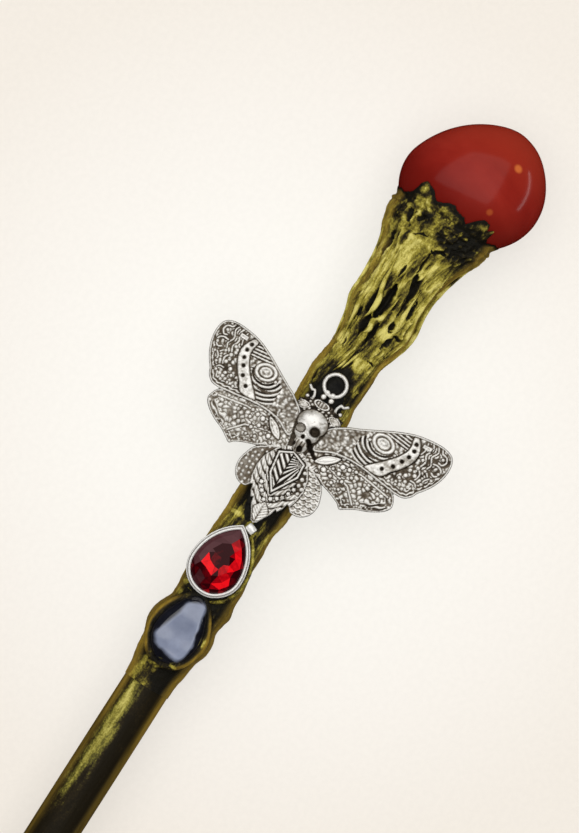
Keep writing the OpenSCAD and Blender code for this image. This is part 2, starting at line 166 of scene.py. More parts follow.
def curve(points, steps, closed=False):
    """A smooth Catmull-Rom curve through the points."""
    p = np.asarray(points, float)
    n = len(p)
    spans = n if closed else n - 1
    out = []
    for i in range(spans):
        a, b, c, d = (p[(i + k) % n] if closed else p[min(max(i + k, 0), n - 1)] for k in (-1, 0, 1, 2))
        u = (np.arange(steps) / steps)[:, None]
        out.append(0.5 * (2 * b + (c - a) * u + (2 * a - 5 * b + 4 * c - d) * u ** 2
                          + (3 * b - a - 3 * c + d) * u ** 3))
    if not closed:
        out.append(p[-1:])
    return np.vstack(out)


def along_table(table, s):
    """Rows of a table of stations, interpolated smoothly at s."""
    t = np.asarray(table, float)
    x = t[:, 0]
    i = np.clip(np.searchsorted(x, s) - 1, 0, len(x) - 2)
    u = np.clip((s - x[i]) / (x[i + 1] - x[i]), 0, 1)
    slope = np.gradient(t[:, 1:], x, axis=0)
    h = (x[i + 1] - x[i])[..., None]
    u = u[..., None]
    return (t[i, 1:] * (1 + 2 * u) * (1 - u) ** 2 + slope[i] * h * u * (1 - u) ** 2
            + t[i + 1, 1:] * u * u * (3 - 2 * u) + slope[i + 1] * h * u * u * (u - 1))


def line_distance(x, y, points):
    """Distance from each point to a chain of straight pieces."""
    best = np.full(np.shape(x), 1e9)
    for (ax, ay), (bx, by) in zip(points[:-1], points[1:]):
        vx, vy = bx - ax, by - ay
        u = np.clip(((x - ax) * vx + (y - ay) * vy) / max(vx * vx + vy * vy, 1e-12), 0, 1)
        best = np.minimum(best, np.hypot(x - ax - u * vx, y - ay - u * vy))
    return best


def inside_distance(x, y, outline, reach=1.5):
    """Distance to a closed outline, positive inside it, and -reach for points well outside its box."""
    p = np.asarray(outline, float)
    low, high = p.min(0) - reach, p.max(0) + reach
    near = (x > low[0]) & (x < high[0]) & (y > low[1]) & (y < high[1])
    out = np.full(x.shape, -reach)
    px, py = x[near], y[near]
    loop = np.vstack([p, p[:1]])
    inside = np.zeros(px.shape, bool)
    for (ax, ay), (bx, by) in zip(loop[:-1], loop[1:]):
        if ay != by:
            inside ^= ((ay > py) != (by > py)) & (px < (bx - ax) * (py - ay) / (by - ay) + ax)
    out[near] = np.where(inside, 1.0, -1.0) * line_distance(px, py, loop)
    return out


# ---- meshes ----------------------------------------------------------------------------------------------

def make_object(name, points, faces, attributes, smooth_faces=True):
    """A mesh object from points in metres and faces: one array of faces, or a list of such arrays."""
    mesh = bpy.data.meshes.new(name)
    points = np.asarray(points, float).reshape(-1, 3)
    faces = [faces] if isinstance(faces, np.ndarray) else faces
    blocks = [np.asarray(f) for f in faces]
    sizes = np.concatenate([np.full(len(b), b.shape[1]) for b in blocks])
    loops = np.concatenate([b.ravel() for b in blocks])
    mesh.vertices.add(len(points))
    mesh.vertices.foreach_set("co", points.ravel())
    mesh.loops.add(len(loops))
    mesh.loops.foreach_set("vertex_index", loops.astype(np.int32))
    mesh.polygons.add(len(sizes))
    mesh.polygons.foreach_set("loop_start", (np.cumsum(sizes) - sizes).astype(np.int32))
    mesh.polygons.foreach_set("use_smooth", np.full(len(sizes), smooth_faces))
    for key, values in attributes.items():
        layer = mesh.attributes.new(key, "FLOAT", "POINT")
        layer.data.foreach_set("value", np.ravel(values).astype(np.float32))
    mesh.update(calc_edges=True)
    mesh.validate()
    piece = bpy.data.objects.new(name, mesh)
    bpy.context.scene.collection.objects.link(piece)
    return piece


def grid_faces(rows, cols, wrap_rows=False, wrap_cols=False, start=0):
    """Quads over a grid of points, closed across its rows or columns where asked."""
    r = np.arange(rows if wrap_rows else rows - 1)[:, None]
    c = np.arange(cols if wrap_cols else cols - 1)[None, :]
    r2, c2 = (r + 1) % rows, (c + 1) % cols
    return np.stack([r * cols + c, r * cols + c2, r2 * cols + c2, r2 * cols + c], -1).reshape(-1, 4) + start


def cap_faces(loop, centre, outward):
    """A fan of triangles from a loop of indices to a centre point."""
    a, b = loop, np.roll(loop, -1)
    fan = np.stack([np.full(len(loop), centre), a, b], -1)
    return fan if outward else fan[:, ::-1]


def tube(name, points, attributes=None):
    """A closed solid of rings: points is rings by sides by 3, and the ends are closed by fans."""
    rings, sides = points.shape[:2]
    flat = points.reshape(-1, 3)
    faces = [grid_faces(rings, sides, wrap_cols=True)]
    values = {k: np.ravel(v) for k, v in (attributes or {}).items()}
    faces.append(cap_faces(np.arange(sides), rings * sides, False))
    faces.append(cap_faces(np.arange(sides) + (rings - 1) * sides, rings * sides + 1, True))
    flat = np.vstack([flat, points[0].mean(0), points[-1].mean(0)])
    values = {k: np.append(v, [v[:sides].mean(), v[-sides:].mean()]) for k, v in values.items()}
    return make_object(name, flat, faces, values)


def ring_of_rings(name, points, attributes):
    """A closed band: points is rings by sides by 3, and both ways run round."""
    rings, sides = points.shape[:2]
    return make_object(name, points, grid_faces(rings, sides, wrap_rows=True, wrap_cols=True), attributes)


def adopt(piece, slot, *nodes):
    """The piece rides on the wand and stands for the CAD nodes."""
    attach(piece, "root")
    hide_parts(*nodes)


# ---- materials -------------------------------------------------------------------------------------------

class Look:
    """A short way to wire one node material."""

    def __init__(self, name, **shader):
        self.material = bpy.data.materials.new(name)
        self.material.use_nodes = True
        self.tree = self.material.node_tree
        self.shader = self.tree.nodes["Principled BSDF"]
        for key, value in shader.items():
            self.shader.inputs[key.replace("_", " ")].default_value = value
        self.position = self.add("ShaderNodeTexCoord").outputs["Object"]

    def add(self, kind, **values):
        node = self.tree.nodes.new(kind)
        for key, value in values.items():
            setattr(node, key, value)
        return node

    def join(self, source, target):
        self.tree.links.new(source, target)

    def put(self, socket, value):
        if hasattr(value, "is_output"):
            self.join(value, socket)
        else:
            socket.default_value = value

    def attribute(self, name):
        return self.add("ShaderNodeAttribute", attribute_name=name).outputs["Fac"]

    def scaled(self, scale):
        node = self.add("ShaderNodeMapping")
        self.join(self.position, node.inputs["Vector"])
        node.inputs["Scale"].default_value = scale
        return node.outputs["Vector"]

    def noise(self, scale, detail=3.0, roughness=0.55, vector=None, distortion=0.0):
        node = self.add("ShaderNodeTexNoise")
        self.join(vector or self.position, node.inputs["Vector"])
        node.inputs["Scale"].default_value = scale
        node.inputs["Detail"].default_value = detail
        node.inputs["Roughness"].default_value = roughness
        node.inputs["Distortion"].default_value = distortion
        return node.outputs["Fac"]

    def math(self, operation, a, b=0.0, clamp=False):
        node = self.add("ShaderNodeMath", operation=operation, use_clamp=clamp)
        self.put(node.inputs[0], a)
        self.put(node.inputs[1], b)
        return node.outputs[0]

    def stirred(self, level, *layers):
        """A level from 0 to 1, stirred by layers of (noise, amount)."""
        for k, (cloud, amount) in enumerate(layers, 1):
            change = self.math("MULTIPLY", self.math("SUBTRACT", cloud, 0.5), amount)
            level = self.math("ADD", level, change, clamp=k == len(layers))
        return level

    def distance(self, place_from):
        """How far each point is from a place."""
        node = self.add("ShaderNodeVectorMath", operation="DISTANCE")
        self.join(self.position, node.inputs[0])
        node.inputs[1].default_value = place_from
        return node.outputs["Value"]

    def step(self, value, low, high, to_low=0.0, to_high=1.0, kind="SMOOTHSTEP"):
        node = self.add("ShaderNodeMapRange", interpolation_type=kind)
        self.put(node.inputs["Value"], value)
        node.inputs["From Min"].default_value = low
        node.inputs["From Max"].default_value = high
        node.inputs["To Min"].default_value = to_low
        node.inputs["To Max"].default_value = to_high
        return node.outputs["Result"]

    def ramp(self, value, stops):
        node = self.add("ShaderNodeValToRGB")
        self.join(value, node.inputs["Fac"])
        elements = node.color_ramp.elements
        while len(elements) < len(stops):
            elements.new(0.5)
        for element, (at, colour) in zip(elements, stops):
            element.position = at
            element.color = (*colour, 1.0)
        return node.outputs["Color"]

    def mix(self, factor, a, b):
        node = self.add("ShaderNodeMix", data_type="RGBA")
        self.put(node.inputs["Factor"], factor)
        for socket, value in (("A", a), ("B", b)):
            target = next(i for i in node.inputs if i.name == socket and i.type == "RGBA")
            self.put(target, (*value, 1.0) if isinstance(value, tuple) else value)
        return next(o for o in node.outputs if o.type == "RGBA")

    def set(self, socket, value):
        self.put(self.shader.inputs[socket], value)

    def bumpy(self, height, distance):
        node = self.add("ShaderNodeBump")
        node.inputs["Strength"].default_value = 1.0
        node.inputs["Distance"].default_value = distance
        self.join(height, node.inputs["Height"])
        self.join(node.outputs["Normal"], self.shader.inputs["Normal"])

    def on(self, *pieces):
        for piece in pieces:
            piece.data.materials.clear()
            piece.data.materials.append(self.material)


# Paint colours, linear; the last is the colour of a painted golden-brown glow.
SOOT = (0.008, 0.007, 0.004)
UMBER = (0.030, 0.022, 0.006)
OLIVE = (0.125, 0.102, 0.014)
GOLD = (0.34, 0.287, 0.038)
PALE_GOLD = (0.66, 0.59, 0.165)
EDGE_GLOW_COLOUR = (0.325, 0.208, 0.020)


def bark_look():
    """Clay dry-brushed with gold where the attributes say, thinned by painted shade on one side, and given a
    painted golden-brown glow on its flanks.
    """
    look = Look("bark_clay", Metallic=0.25, Specular_IOR_Level=0.35)
    gild_and_shade = look.attribute("gild_and_shade")
    # Streaks run along the wand.
    streak = look.noise(1100, 5, 0.68, look.scaled((0.28, 1, 1)))
    grain = look.noise(3000, 3, 0.65)
    # The gold level, painted shade included, is broken up by the streaks and the grain.
    worn = look.stirred(gild_and_shade, (streak, 1.05), (grain, 0.70))
    paint = look.ramp(worn, [(0.14, SOOT), (0.32, UMBER), (0.48, OLIVE), (0.72, GOLD), (1.0, PALE_GOLD)])
    # Painted golden-brown glow on the flanks, broken by the streaks.
    flank = look.math("MULTIPLY", look.attribute("edge_glow"), look.step(streak, 0.30, 0.62, 0.65, 1.0))
    look.set("Base Color", look.mix(flank, paint, EDGE_GLOW_COLOUR))
    look.set("Roughness", look.step(worn, 0.2, 0.9, 0.50, 0.60))
    look.bumpy(look.math("ADD", streak, look.math("MULTIPLY", grain, 0.5)), 0.00035)
    return look


# ---- the handle ------------------------------------------------------------------------------------------

SLEEVE_START = 17.4
# s, half width on the -t side, on the +t side, height in front, height behind, squareness.
HANDLE = [
    [SLEEVE_START, 4.85, 4.85, 4.85, 4.85, 2.0],
    [20.0, 5.1, 4.95, 5.1, 5.0, 2.1],
    [23.0, 5.7, 5.4, 5.7, 5.4, 2.3],
    [26.0, 6.05, 5.8, 6.3, 5.7, 2.6],
    [28.6, 6.9, 6.65, 6.5, 5.9, 2.8],
    [31.0, 7.0, 6.6, 6.6, 6.0, 2.8],
    [33.0, 6.4, 6.0, 6.5, 5.9, 2.8],
    [35.0, 5.5, 6.3, 6.4, 5.8, 2.8],
    [36.6, 5.4, 6.7, 6.4, 5.8, 2.9],
    [39.0, 5.6, 6.25, 6.4, 5.8, 3.0],
    [42.4, 5.9, 6.2, 6.5, 5.8, 3.1],
    [46.3, 5.8, 5.5, 6.5, 5.8, 3.0],
    [50.0, 5.7, 5.5, 6.4, 5.7, 2.7],
    [54.0, 5.55, 5.15, 6.3, 5.7, 2.4],
    [58.0, 5.7, 5.8, 6.2, 5.7, 2.2],
    [66.0, 5.8, 5.9, 6.2, 5.7, 2.2],
    [76.0, 5.9, 5.9, 6.2, 5.8, 2.2],
    [81.0, 6.1, 5.8, 6.1, 5.8, 2.2],
    [84.0, 6.35, 5.25, 6.0, 5.8, 2.2],
    [87.0, 6.5, 5.4, 6.0, 5.9, 2.2],
    [90.0, 6.2, 5.55, 6.0, 5.9, 2.2],
    [93.0, 5.8, 5.6, 6.1, 6.0, 2.2],
    [96.4, 6.0, 6.5, 6.3, 6.2, 2.2],
    [99.5, 6.4, 7.25, 6.7, 6.6, 2.2],
    [102.2, 7.4, 7.4, 7.0, 6.9, 2.2],
    [106.0, 7.5, 6.95, 7.1, 7.1, 2.2],
    [110.0, 7.6, 6.95, 7.2, 7.2, 2.2],
    [113.8, 8.35, 7.85, 7.7, 7.6, 2.2],
    [117.7, 9.95, 9.4, 8.8, 8.6, 2.1],
    [120.0, 10.6, 10.5, 9.4, 9.2, 2.1],
    [123.4, 10.75, 11.45, 9.95, 9.85, 2.0],
    [125.4, 11.0, 12.2, 10.3, 10.2, 2.0],
]

# Hollows in the front of the bark: start and end as (t, s), half width, depth.
PITS = [[(-3.3, 101.4), (-3.2, 105.6), 0.85, 1.0], [(-1.0, 101.6), (-0.7, 107.6), 0.95, 1.3],
        [(-2.0, 97.9), (-1.9, 100.0), 0.95, 1.1], [(0.1, 96.4), (0.2, 99.6), 0.55, 0.9],
        [(1.9, 109.4), (1.7, 112.0), 0.6, 0.9], [(2.6, 107.0), (2.4, 111.0), 0.6, 0.8],
        [(2.7, 100.9), (2.7, 101.3), 0.65, 0.9], [(4.6, 103.2), (4.4, 107.3), 0.45, 0.9],
        [(-1.6, 110.4), (-1.4, 112.2), 0.5, 0.7], [(-6.4, 112.0), (-6.9, 116.5), 0.6, 0.7],
        [(-5.9, 120.6), (-6.4, 122.0), 0.8, 0.7], [(-4.0, 121.3), (-3.6, 122.1), 0.5, 0.5],
        [(0.9, 104.0), (1.0, 104.6), 0.35, 0.5], [(-4.6, 97.0), (-4.4, 101.0), 0.4, 0.7],
        [(3.2, 96.4), (4.2, 98.6), 0.5, 0.6], [(4.2, 98.8), (6.2, 100.6), 0.35, 0.6],
        [(1.3, 112.8), (1.5, 116.6), 0.35, 0.5], [(1.6, 117.4), (3.4, 117.8), 0.5, 0.6],
        [(-3.4, 93.2), (-3.7, 94.6), 0.35, 0.4], [(2.6, 92.8), (3.6, 92.4), 0.3, 0.4],
        [(-3.2, 118.6), (-1.0, 119.4), 0.35, 0.4], [(2.4, 103.4), (2.6, 106.6), 0.35, 0.5]]

# Broad smooth patches of the front, rich in gold: centre (t, s), half sizes.
GILDED = [[(-2.6, 114.5), (2.2, 4.6)], [(-4.9, 107.5), (1.2, 6.0)], [(2.3, 99.0), (1.3, 1.6)],
          [(-4.3, 94.6), (1.2, 1.6)], [(1.5, 91.4), (1.6, 1.6)], [(4.6, 113.0), (1.5, 3.6)],
          [(-6.0, 127.0), (1.1, 1.2)], [(6.6, 126.8), (1.0, 1.3)], [(-5.4, 124.2), (1.8, 1.0)],
          [(-2.3, 18.6), (1.7, 3.0)], [(-2.1, 17.2), (1.9, 2.0)], [(-3.0, 21.4), (0.6, 1.6)],
          [(-1.5, 22.0), (1.5, 0.45)], [(2.3, 23.5), (0.8, 0.35)], [(5.0, 30.4), (0.3, 0.9)],
          [(-3.3, 55.0), (1.9, 0.5)], [(-3.4, 57.6), (0.6, 0.9)], [(5.1, 42.0), (0.5, 2.4)],
          [(5.2, 56.5), (0.5, 2.6)], [(-4.4, 37.5), (0.6, 2.0)]]
# Patches painted black, likewise.
BLACKENED = [[(-0.4, 84.6), (4.3, 5.2)], [(6.0, 121.6), (5.2, 3.6)], [(2.4, 121.2), (2.0, 2.2)],
             [(-3.4, 59.5), (1.6, 3.0)], [(3.6, 59.0), (1.5, 3.6)], [(-0.2, 30.0), (5.6, 7.0)],
             [(3.4, 20.0), (3.2, 5.5)], [(-8.0, 121.0), (1.2, 2.2)], [(0.3, 37.6), (4.6, 1.4)],
             [(3.4, 39.0), (1.6, 1.6)], [(-4.4, 116.8), (0.6, 1.6)], [(-8.6, 124.4), (2.4, 3.0)],
             [(-3.4, 122.6), (0.9, 0.8)]]


def patches(t, s, blobs):
    """How far inside any of the soft oval patches each point is, 0 to 1."""
    best = np.zeros(np.shape(t))
    warp = 0.35 * fbm(t * 0.9, s * 0.45, 0, 3, 71)
    for (ct, cs), (rt, rs) in blobs:
        d = np.hypot((t - ct) / rt, (s - cs) / rs) + warp
        best = np.maximum(best, 1 - smooth(0.65, 1.25, d))
    return best


def handle_form(s, angle):
    """(t, h) of the undisturbed handle."""
    row = along_table(HANDLE, s)
    left, right, front, back, squareness = (row[..., k] for k in range(5))
    c, q = (np.sign(v) * np.abs(v) ** (2 / squareness) for v in (np.cos(angle), np.sin(angle)))
    return np.where(c > 0, right, left) * c, np.where(q > 0, front, back) * q


def hollow(t, s):
    """Depth of the worn hollows in the front of the bark, and nearness to their rims."""
    wt = t + 0.34 * fbm(t * 1.1, s * 0.6, 0, 3, 41)
    ws = s + 0.9 * fbm(t * 0.9, s * 0.5, 0, 3, 42)
    pit, rim_near = np.zeros(t.shape), np.zeros(t.shape)
    for (t_from, s_from), (t_to, s_to), half, depth in PITS:
        mid_t, mid_s = (t_from + t_to) / 2, (s_from + s_to) / 2
        length = math.hypot(t_to - t_from, s_to - s_from)
        ut, us = (t_to - t_from) / length, (s_to - s_from) / length
        along = (wt - mid_t) * ut + (ws - mid_s) * us
        across = np.abs((wt - mid_t) * us - (ws - mid_s) * ut)
        q = np.clip(np.abs(along) / (length / 2 + 1.1 * half), 0, 1)
        width = half * (1 - q ** 2.2) ** 0.75 + 1e-3
        f = across / width
        pit = np.maximum(pit, depth * (1 - smooth(0.25, 1.15, f)) * (q < 1))
        rim_near = np.maximum(rim_near, bump(f, 1.35, 0.45) * (q < 0.97))
    return pit, rim_near


def handle_surface(s, angle):
    """Points of the sculpted bark, how much gold each one takes (less on the +t side as painted shade), and
    how much painted golden-brown glow its flanks take.
    """
    t, h = handle_form(s, angle)
    r = np.hypot(t, h)
    ut, uh = t / r, h / r
    side = np.abs(ut)
    front = smooth(-0.1, 0.35, uh)
    girth = 6.2
    # The bark's grain runs along the wand and winds a little round it.
    turn = 0.055 * (s - 70) + 0.35 * noise(s * 0.06, 0, 0, 5)
    wound = angle + turn * 0.35
    gx, gy = np.cos(wound) * girth, np.sin(wound) * girth
    wx = 0.8 * fbm(gx * 0.45, gy * 0.45, s * 0.10, 3, 11)
    wy = 0.8 * fbm(gx * 0.45, gy * 0.45, s * 0.10, 3, 12)
    coarse = ridges(gx * 0.36 + wx, gy * 0.36 + wy, s * 0.075, 2, 21)
    fine = ridges(gx * 0.95 + wx, gy * 0.95 + wy, s * 0.20, 3, 22)
    thread = ridges(gx * 2.1 + wx, gy * 2.1 + wy, s * 0.42, 2, 25)
    grit = fbm(gx * 2.4, gy * 2.4, s * 1.5, 3, 23)
    crumb = fbm(gx * 1.3, gy * 1.3, s * 1.2, 3, 24)
    # Four stretches of the handle: the deep bark above the charm, the middle, the cup and the foot.
    deep = smooth(90, 97, s) * (1 - 0.5 * smooth(113, 119, s))
    mid = smooth(44, 56, s) * (1 - smooth(92, 98, s))
    cup = smooth(115, 120, s)
    low = 1 - smooth(46, 56, s)
    start = smooth(SLEEVE_START, 22, s)
    lift = deep * (1.15 * (coarse - 0.55) + 0.75 * (fine - 0.55) + 0.32 * (thread - 0.55) + 0.14 * grit)
    lift += mid * (0.55 * (coarse - 0.55) + 0.45 * (fine - 0.55) + 0.20 * (thread - 0.55) + 0.08 * grit)
    lift += cup * (0.30 * (fine - 0.55) + 0.62 * crumb + 0.26 * grit) * (1 - 0.6 * smooth(0.8, 0.98, side))
    lift += low * start * (0.22 * (coarse - 0.5) + 0.16 * crumb + 0.05 * grit)
    lift += (1 - start) * 0.06 * grit
    lift = lift * (1 - 0.45 * smooth(0.80, 0.98, side))
    pit, rim_near = hollow(t, s)
    gold_here = patches(t, s, GILDED) * front
    black_here = patches(t, s, BLACKENED) * front
    rich = smooth(88, 94, s) * front
    lift = lift * (1 - 0.35 * gold_here * rich)
    lift = lift + front * (-pit + 0.10 * rim_near * rich)
    # The clay stays under the charm, the bezel and the dark stone.
    bedded = front * bump(s, 66, 26) * smooth(0.72, 0.95, uh)
    lift = np.where(lift > 0, lift * (1 - 0.8 * bedded), lift)
    # Gold catches the crests, and not the hollows.
    crest = 0.5 + 0.60 * lift / (0.15 + 0.60 * deep + 0.35 * mid + 0.45 * cup + 0.22 * low)
    gold_cover_and_shade = 0.20 + 0.21 * deep + 0.20 * mid + 0.14 * cup - 0.12 * low
    # Less gold on the +t side: partly the paint, and partly painted shade on the side away from the light.
    gold_cover_and_shade = gold_cover_and_shade - 0.11 * smooth(0.2, 0.7, ut) * (1 - smooth(126, 128, s))
    mottle = fbm(gx * 0.5, gy * 0.5, s * 0.16, 3, 26)
    gild_and_shade = crest * 0.62 + gold_cover_and_shade - 0.10 + 0.42 * mottle + 0.25 * (thread - 0.5) * (deep + mid)
    fleck = 0.40 * smooth(0.0, 0.45, fbm(gx * 1.9, gy * 1.9, s * 1.1, 3, 27)) * cup
    gild_and_shade = gild_and_shade + 0.30 * gold_here - (0.60 - 0.12 * cup - fleck) * black_here
    gild_and_shade = gild_and_shade - 0.75 * front * smooth(0.1, 0.6, pit) + 0.10 * front * rim_near * rich
    # Painted glow: the flanks turn golden brown from a little inside the outline.
    begin, full = 0.60 + 0.14 * smooth(58, 66, s) + 0.08 * smooth(112, 119, s), 0.93
    edge_glow = smooth(0, 1, (side - begin) / (full - begin)) * (0.95 - 0.25 * smooth(92, 100, s))
    edge_glow = edge_glow * (0.90 + 0.35 * np.clip(mottle, -1, 0.3))
    return t + ut * lift, h + uh * lift, np.clip(gild_and_shade, 0, 1), edge_glow


def handle_piece(name, s_from, s_to, rows, cols, inner, sink=0.0):
    """A length of the bark shell: the sculpted outside, closed inside by rings of (s, radius)."""
    s = np.linspace(s_from, s_to, rows)[:, None] * np.ones((1, cols))
    angle = full_turn(cols)[None] * np.ones((rows, 1))
    t, h, gild_and_shade, edge_glow = handle_surface(s, angle)
    # The last of the cup dips under its ragged rim.
    dip = 1 - sink * smooth(s_to - 2.6, s_to, s) / np.hypot(t, h)
    outside = place(s, t * dip, h * dip)
    hollow_rings = [place(at, r * np.cos(angle[0]), r * np.sin(angle[0]))[None] for at, r in inner]
    rings = [outside[-1:], *hollow_rings, outside[:1]]
    points = np.concatenate([outside, *rings])
    gild_and_shade = np.concatenate([gild_and_shade, np.full((len(rings), cols), 0.05)])
    edge_glow = np.concatenate([edge_glow, np.zeros((len(rings), cols))])
    shell = grid_faces(rows, cols, wrap_cols=True)
    lining = grid_faces(len(rings), cols, wrap_cols=True, start=rows * cols)
    return make_object(name, points, np.vstack([shell, lining]), {"gild_and_shade": gild_and_shade, "edge_glow": edge_glow})


SLEEVE_END = (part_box("grip_sleeve")[1].x - ORIGIN_X) / MM
CUP_END = (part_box("pommel_cup")[1].x - ORIGIN_X) / MM
# The lining lies just inside the dowel, and two lengths of the sleeve meet under the charm.
BORE = 4.5
SPLIT = 62.0
CUP_LINING = [(CUP_END + 0.4, 8.6), (CUP_END - 6, 7.0), (118.6, 3.2), (118.5, 0.6 * BORE), (113.2, BORE),
              (SLEEVE_END, BORE)]

sleeve_low = handle_piece("grip_sleeve_lower_bark", SLEEVE_START, SPLIT, 300, 190,
                          [(SPLIT, BORE), (SLEEVE_START, BORE)])
sleeve = handle_piece("grip_sleeve_bark", SPLIT, SLEEVE_END, 330, 270, [(SLEEVE_END, BORE), (SPLIT, BORE)])
cup = handle_piece("pommel_cup_bark", SLEEVE_END, CUP_END + 0.6, 190, 380, CUP_LINING, sink=0.9)
adopt(sleeve_low, "bark_clay", "grip_sleeve")
adopt(sleeve, "bark_clay", "grip_sleeve")
adopt(cup, "bark_clay", "pommel_cup")

# Raised strands of clay: s and angle round the handle in degrees, 90 in front and 0 on the +t side.
STRANDS = [
    [(115, 115), (108, 113), (104, 105), (101.5, 106), (99.5, 115)],
    [(107, 83), (101.5, 89), (100.2, 97), (98, 96), (96.8, 107)],
    [(110, 59), (104, 63), (101, 62), (100, 72)],
    [(93.8, 88), (91.4, 93), (89, 99)],
    [(94.0, 95), (91.4, 99), (89.4, 103), (87.9, 109)],
    [(94, 132), (99, 136), (105, 128), (111, 132), (117, 126)],
    [(94, 40), (99, 34), (105, 38), (111, 34), (117, 42)],
    [(93, 160), (98, 168), (105, 162), (112, 166), (118, 156)],
    [(93, 12), (99, 8), (106, 14), (113, 6), (119, 14)],
    [(92, 200), (99, 194), (106, 202), (113, 196), (119, 204)],
    [(92, 236), (98, 244), (105, 238), (112, 242), (119, 232)],
    [(93, 276), (99, 268), (105, 274), (112, 266), (119, 278)],
    [(92, 316), (98, 322), (106, 314), (112, 320), (119, 310)]]


# The two strands that are thin threads.
THREADS = (3, 4)


def fade_ends(n, rate, least):
    """1 along n points, falling towards both ends."""
    return np.clip(rate * np.minimum(np.arange(n), n - 1 - np.arange(n)) / n, least, 1)


def strand_piece():
    points, gilds, faces, start = [], [], [], 0
    sides = 12
    turn = full_turn(sides)
    ends = np.arange(sides)
    for number, route in enumerate(STRANDS):
        path = curve(route, 14)
        n = len(path)
        s, angle = path[:, 0], np.radians(path[:, 1])
        fade = fade_ends(n, 3.2, 0.12)
        width, height = (0.26, 0.45) if number in THREADS else (0.46, 0.55)
        half = width * fade * (1 + 0.25 * noise(s * 0.5, number * 3.7, 0, 51))
        row_s = s[:, None] * np.ones((1, sides))
        r = np.hypot(*handle_form(row_s, angle[:, None] * np.ones((1, sides))))
        t, h = handle_form(row_s, angle[:, None] + half[:, None] * np.cos(turn)[None] / r)
        rise = 0.05 + (height * fade)[:, None] * np.sin(turn)[None]
        rise = rise + 0.06 * fbm(row_s * 1.4, t * 2, h * 2, 2, 52)
        grow = 1 + rise / np.hypot(t, h)
        points.append(place(row_s, t * grow, h * grow).reshape(-1, 3))
        gild_and_shade = 0.72 + 0.22 * np.sin(turn)[None] + 0.3 * noise(row_s * 0.7, t, h, 53)
        gilds.append(np.clip(gild_and_shade * (0.55 + 0.45 * fade[:, None]), 0, 1).ravel())
        faces.append(grid_faces(n, sides, wrap_cols=True, start=start))
        faces.append(ends[None, ::-1] + start)
        faces.append(ends[None] + start + (n - 1) * sides)
        start += n * sides
    values = {"gild_and_shade": np.concatenate(gilds), "edge_glow": np.zeros(start)}
    return make_object("bark_strands_sculpted", np.vstack(points), faces, values)


strands = strand_piece()
adopt(strands, "bark_clay", "bark_strands")

# ---- the pommel stone ------------------------------------------------------------------------------------

# Its widest place, its half width and half height there, and its reach along the wand to each side.
STONE_S = 131.5
STONE_HALF = 13.8
STONE_TALL = 11.2
STONE_UP, STONE_DOWN = 14.5, 12.0
# How far its middle is from the axis, and how much that grows along the wand.
STONE_OFF, STONE_LEAN = 1.55, 0.15


def stone_share(s):
    """The stone's girth at s, as a share of its widest."""
    up = s > STONE_S
    d = np.clip(np.abs(s - STONE_S) / np.where(up, STONE_UP, STONE_DOWN), 0, 1)
    n = np.where(up, 1.8, 2.0)
    return (1 - d ** n) ** (1 / n)


def stone_skin(s, angle, lift=0.0):
    """(t, h) on the stone, or a little off it."""
    share = stone_share(s)
    t = STONE_OFF + STONE_LEAN * (s - STONE_S) + (STONE_HALF * share + lift) * np.cos(angle)
    return t, (STONE_TALL * share + lift) * np.sin(angle)


def stone_piece():
    rows, cols = 150, 180
    pole = 0.5 * np.pi - 0.012
    turn = np.linspace(-pole, pole, rows)[:, None] * np.ones((1, cols))
    angle = full_turn(cols)[None] * np.ones((rows, 1))
    s = STONE_S + np.where(turn > 0, STONE_UP, STONE_DOWN) * np.sin(turn)
    t, h = stone_skin(s, angle)
    # A tumbled stone is never quite round.
    wave = 0.16 * noise(t * 0.09, h * 0.09, s * 0.09, 61) + 0.05 * noise(t * 0.22, h * 0.22, s * 0.22, 62)
    mean_radius = 13
    grow = 1 + wave / mean_radius
    return tube("pommel_stone_polished", place(STONE_S + (s - STONE_S) * grow, t * grow, h * grow))


stone = stone_piece()
adopt(stone, "red_stone", "pommel_stone")

# ---- the ragged rim of the cup ---------------------------------------------------------------------------

# Angle round the stone in degrees, and the rim's height above the cup there.
RIM = [[0, 1.2], [15, 1.5], [28, 1.4], [37, 0.9], [44, 1.5], [49, 3.4], [54, 2.8], [58, 4.2], [64, 4.5],
       [69, 3.2], [73, 1.6], [79, 2.6], [85, 2.6], [91, 3.6], [97, 3.4], [102, 2.5], [108, 2.3], [113, 3.5],
       [118, 4.5], [123, 4.6], [128, 3.9], [132, 2.4], [138, 1.4], [150, 0.9], [165, 1.1], [180, 1.2],
       [195, 1.6], [210, 1.9], [222, 3.8], [236, 1.4], [250, 3.6], [262, 4.3], [276, 1.8], [290, 3.0],
       [304, 1.3], [318, 3.4], [332, 1.5], [346, 1.3], [360, 1.2]]


# How far down inside the cup's bark the rim begins.
RIM_ROOT = 2.4


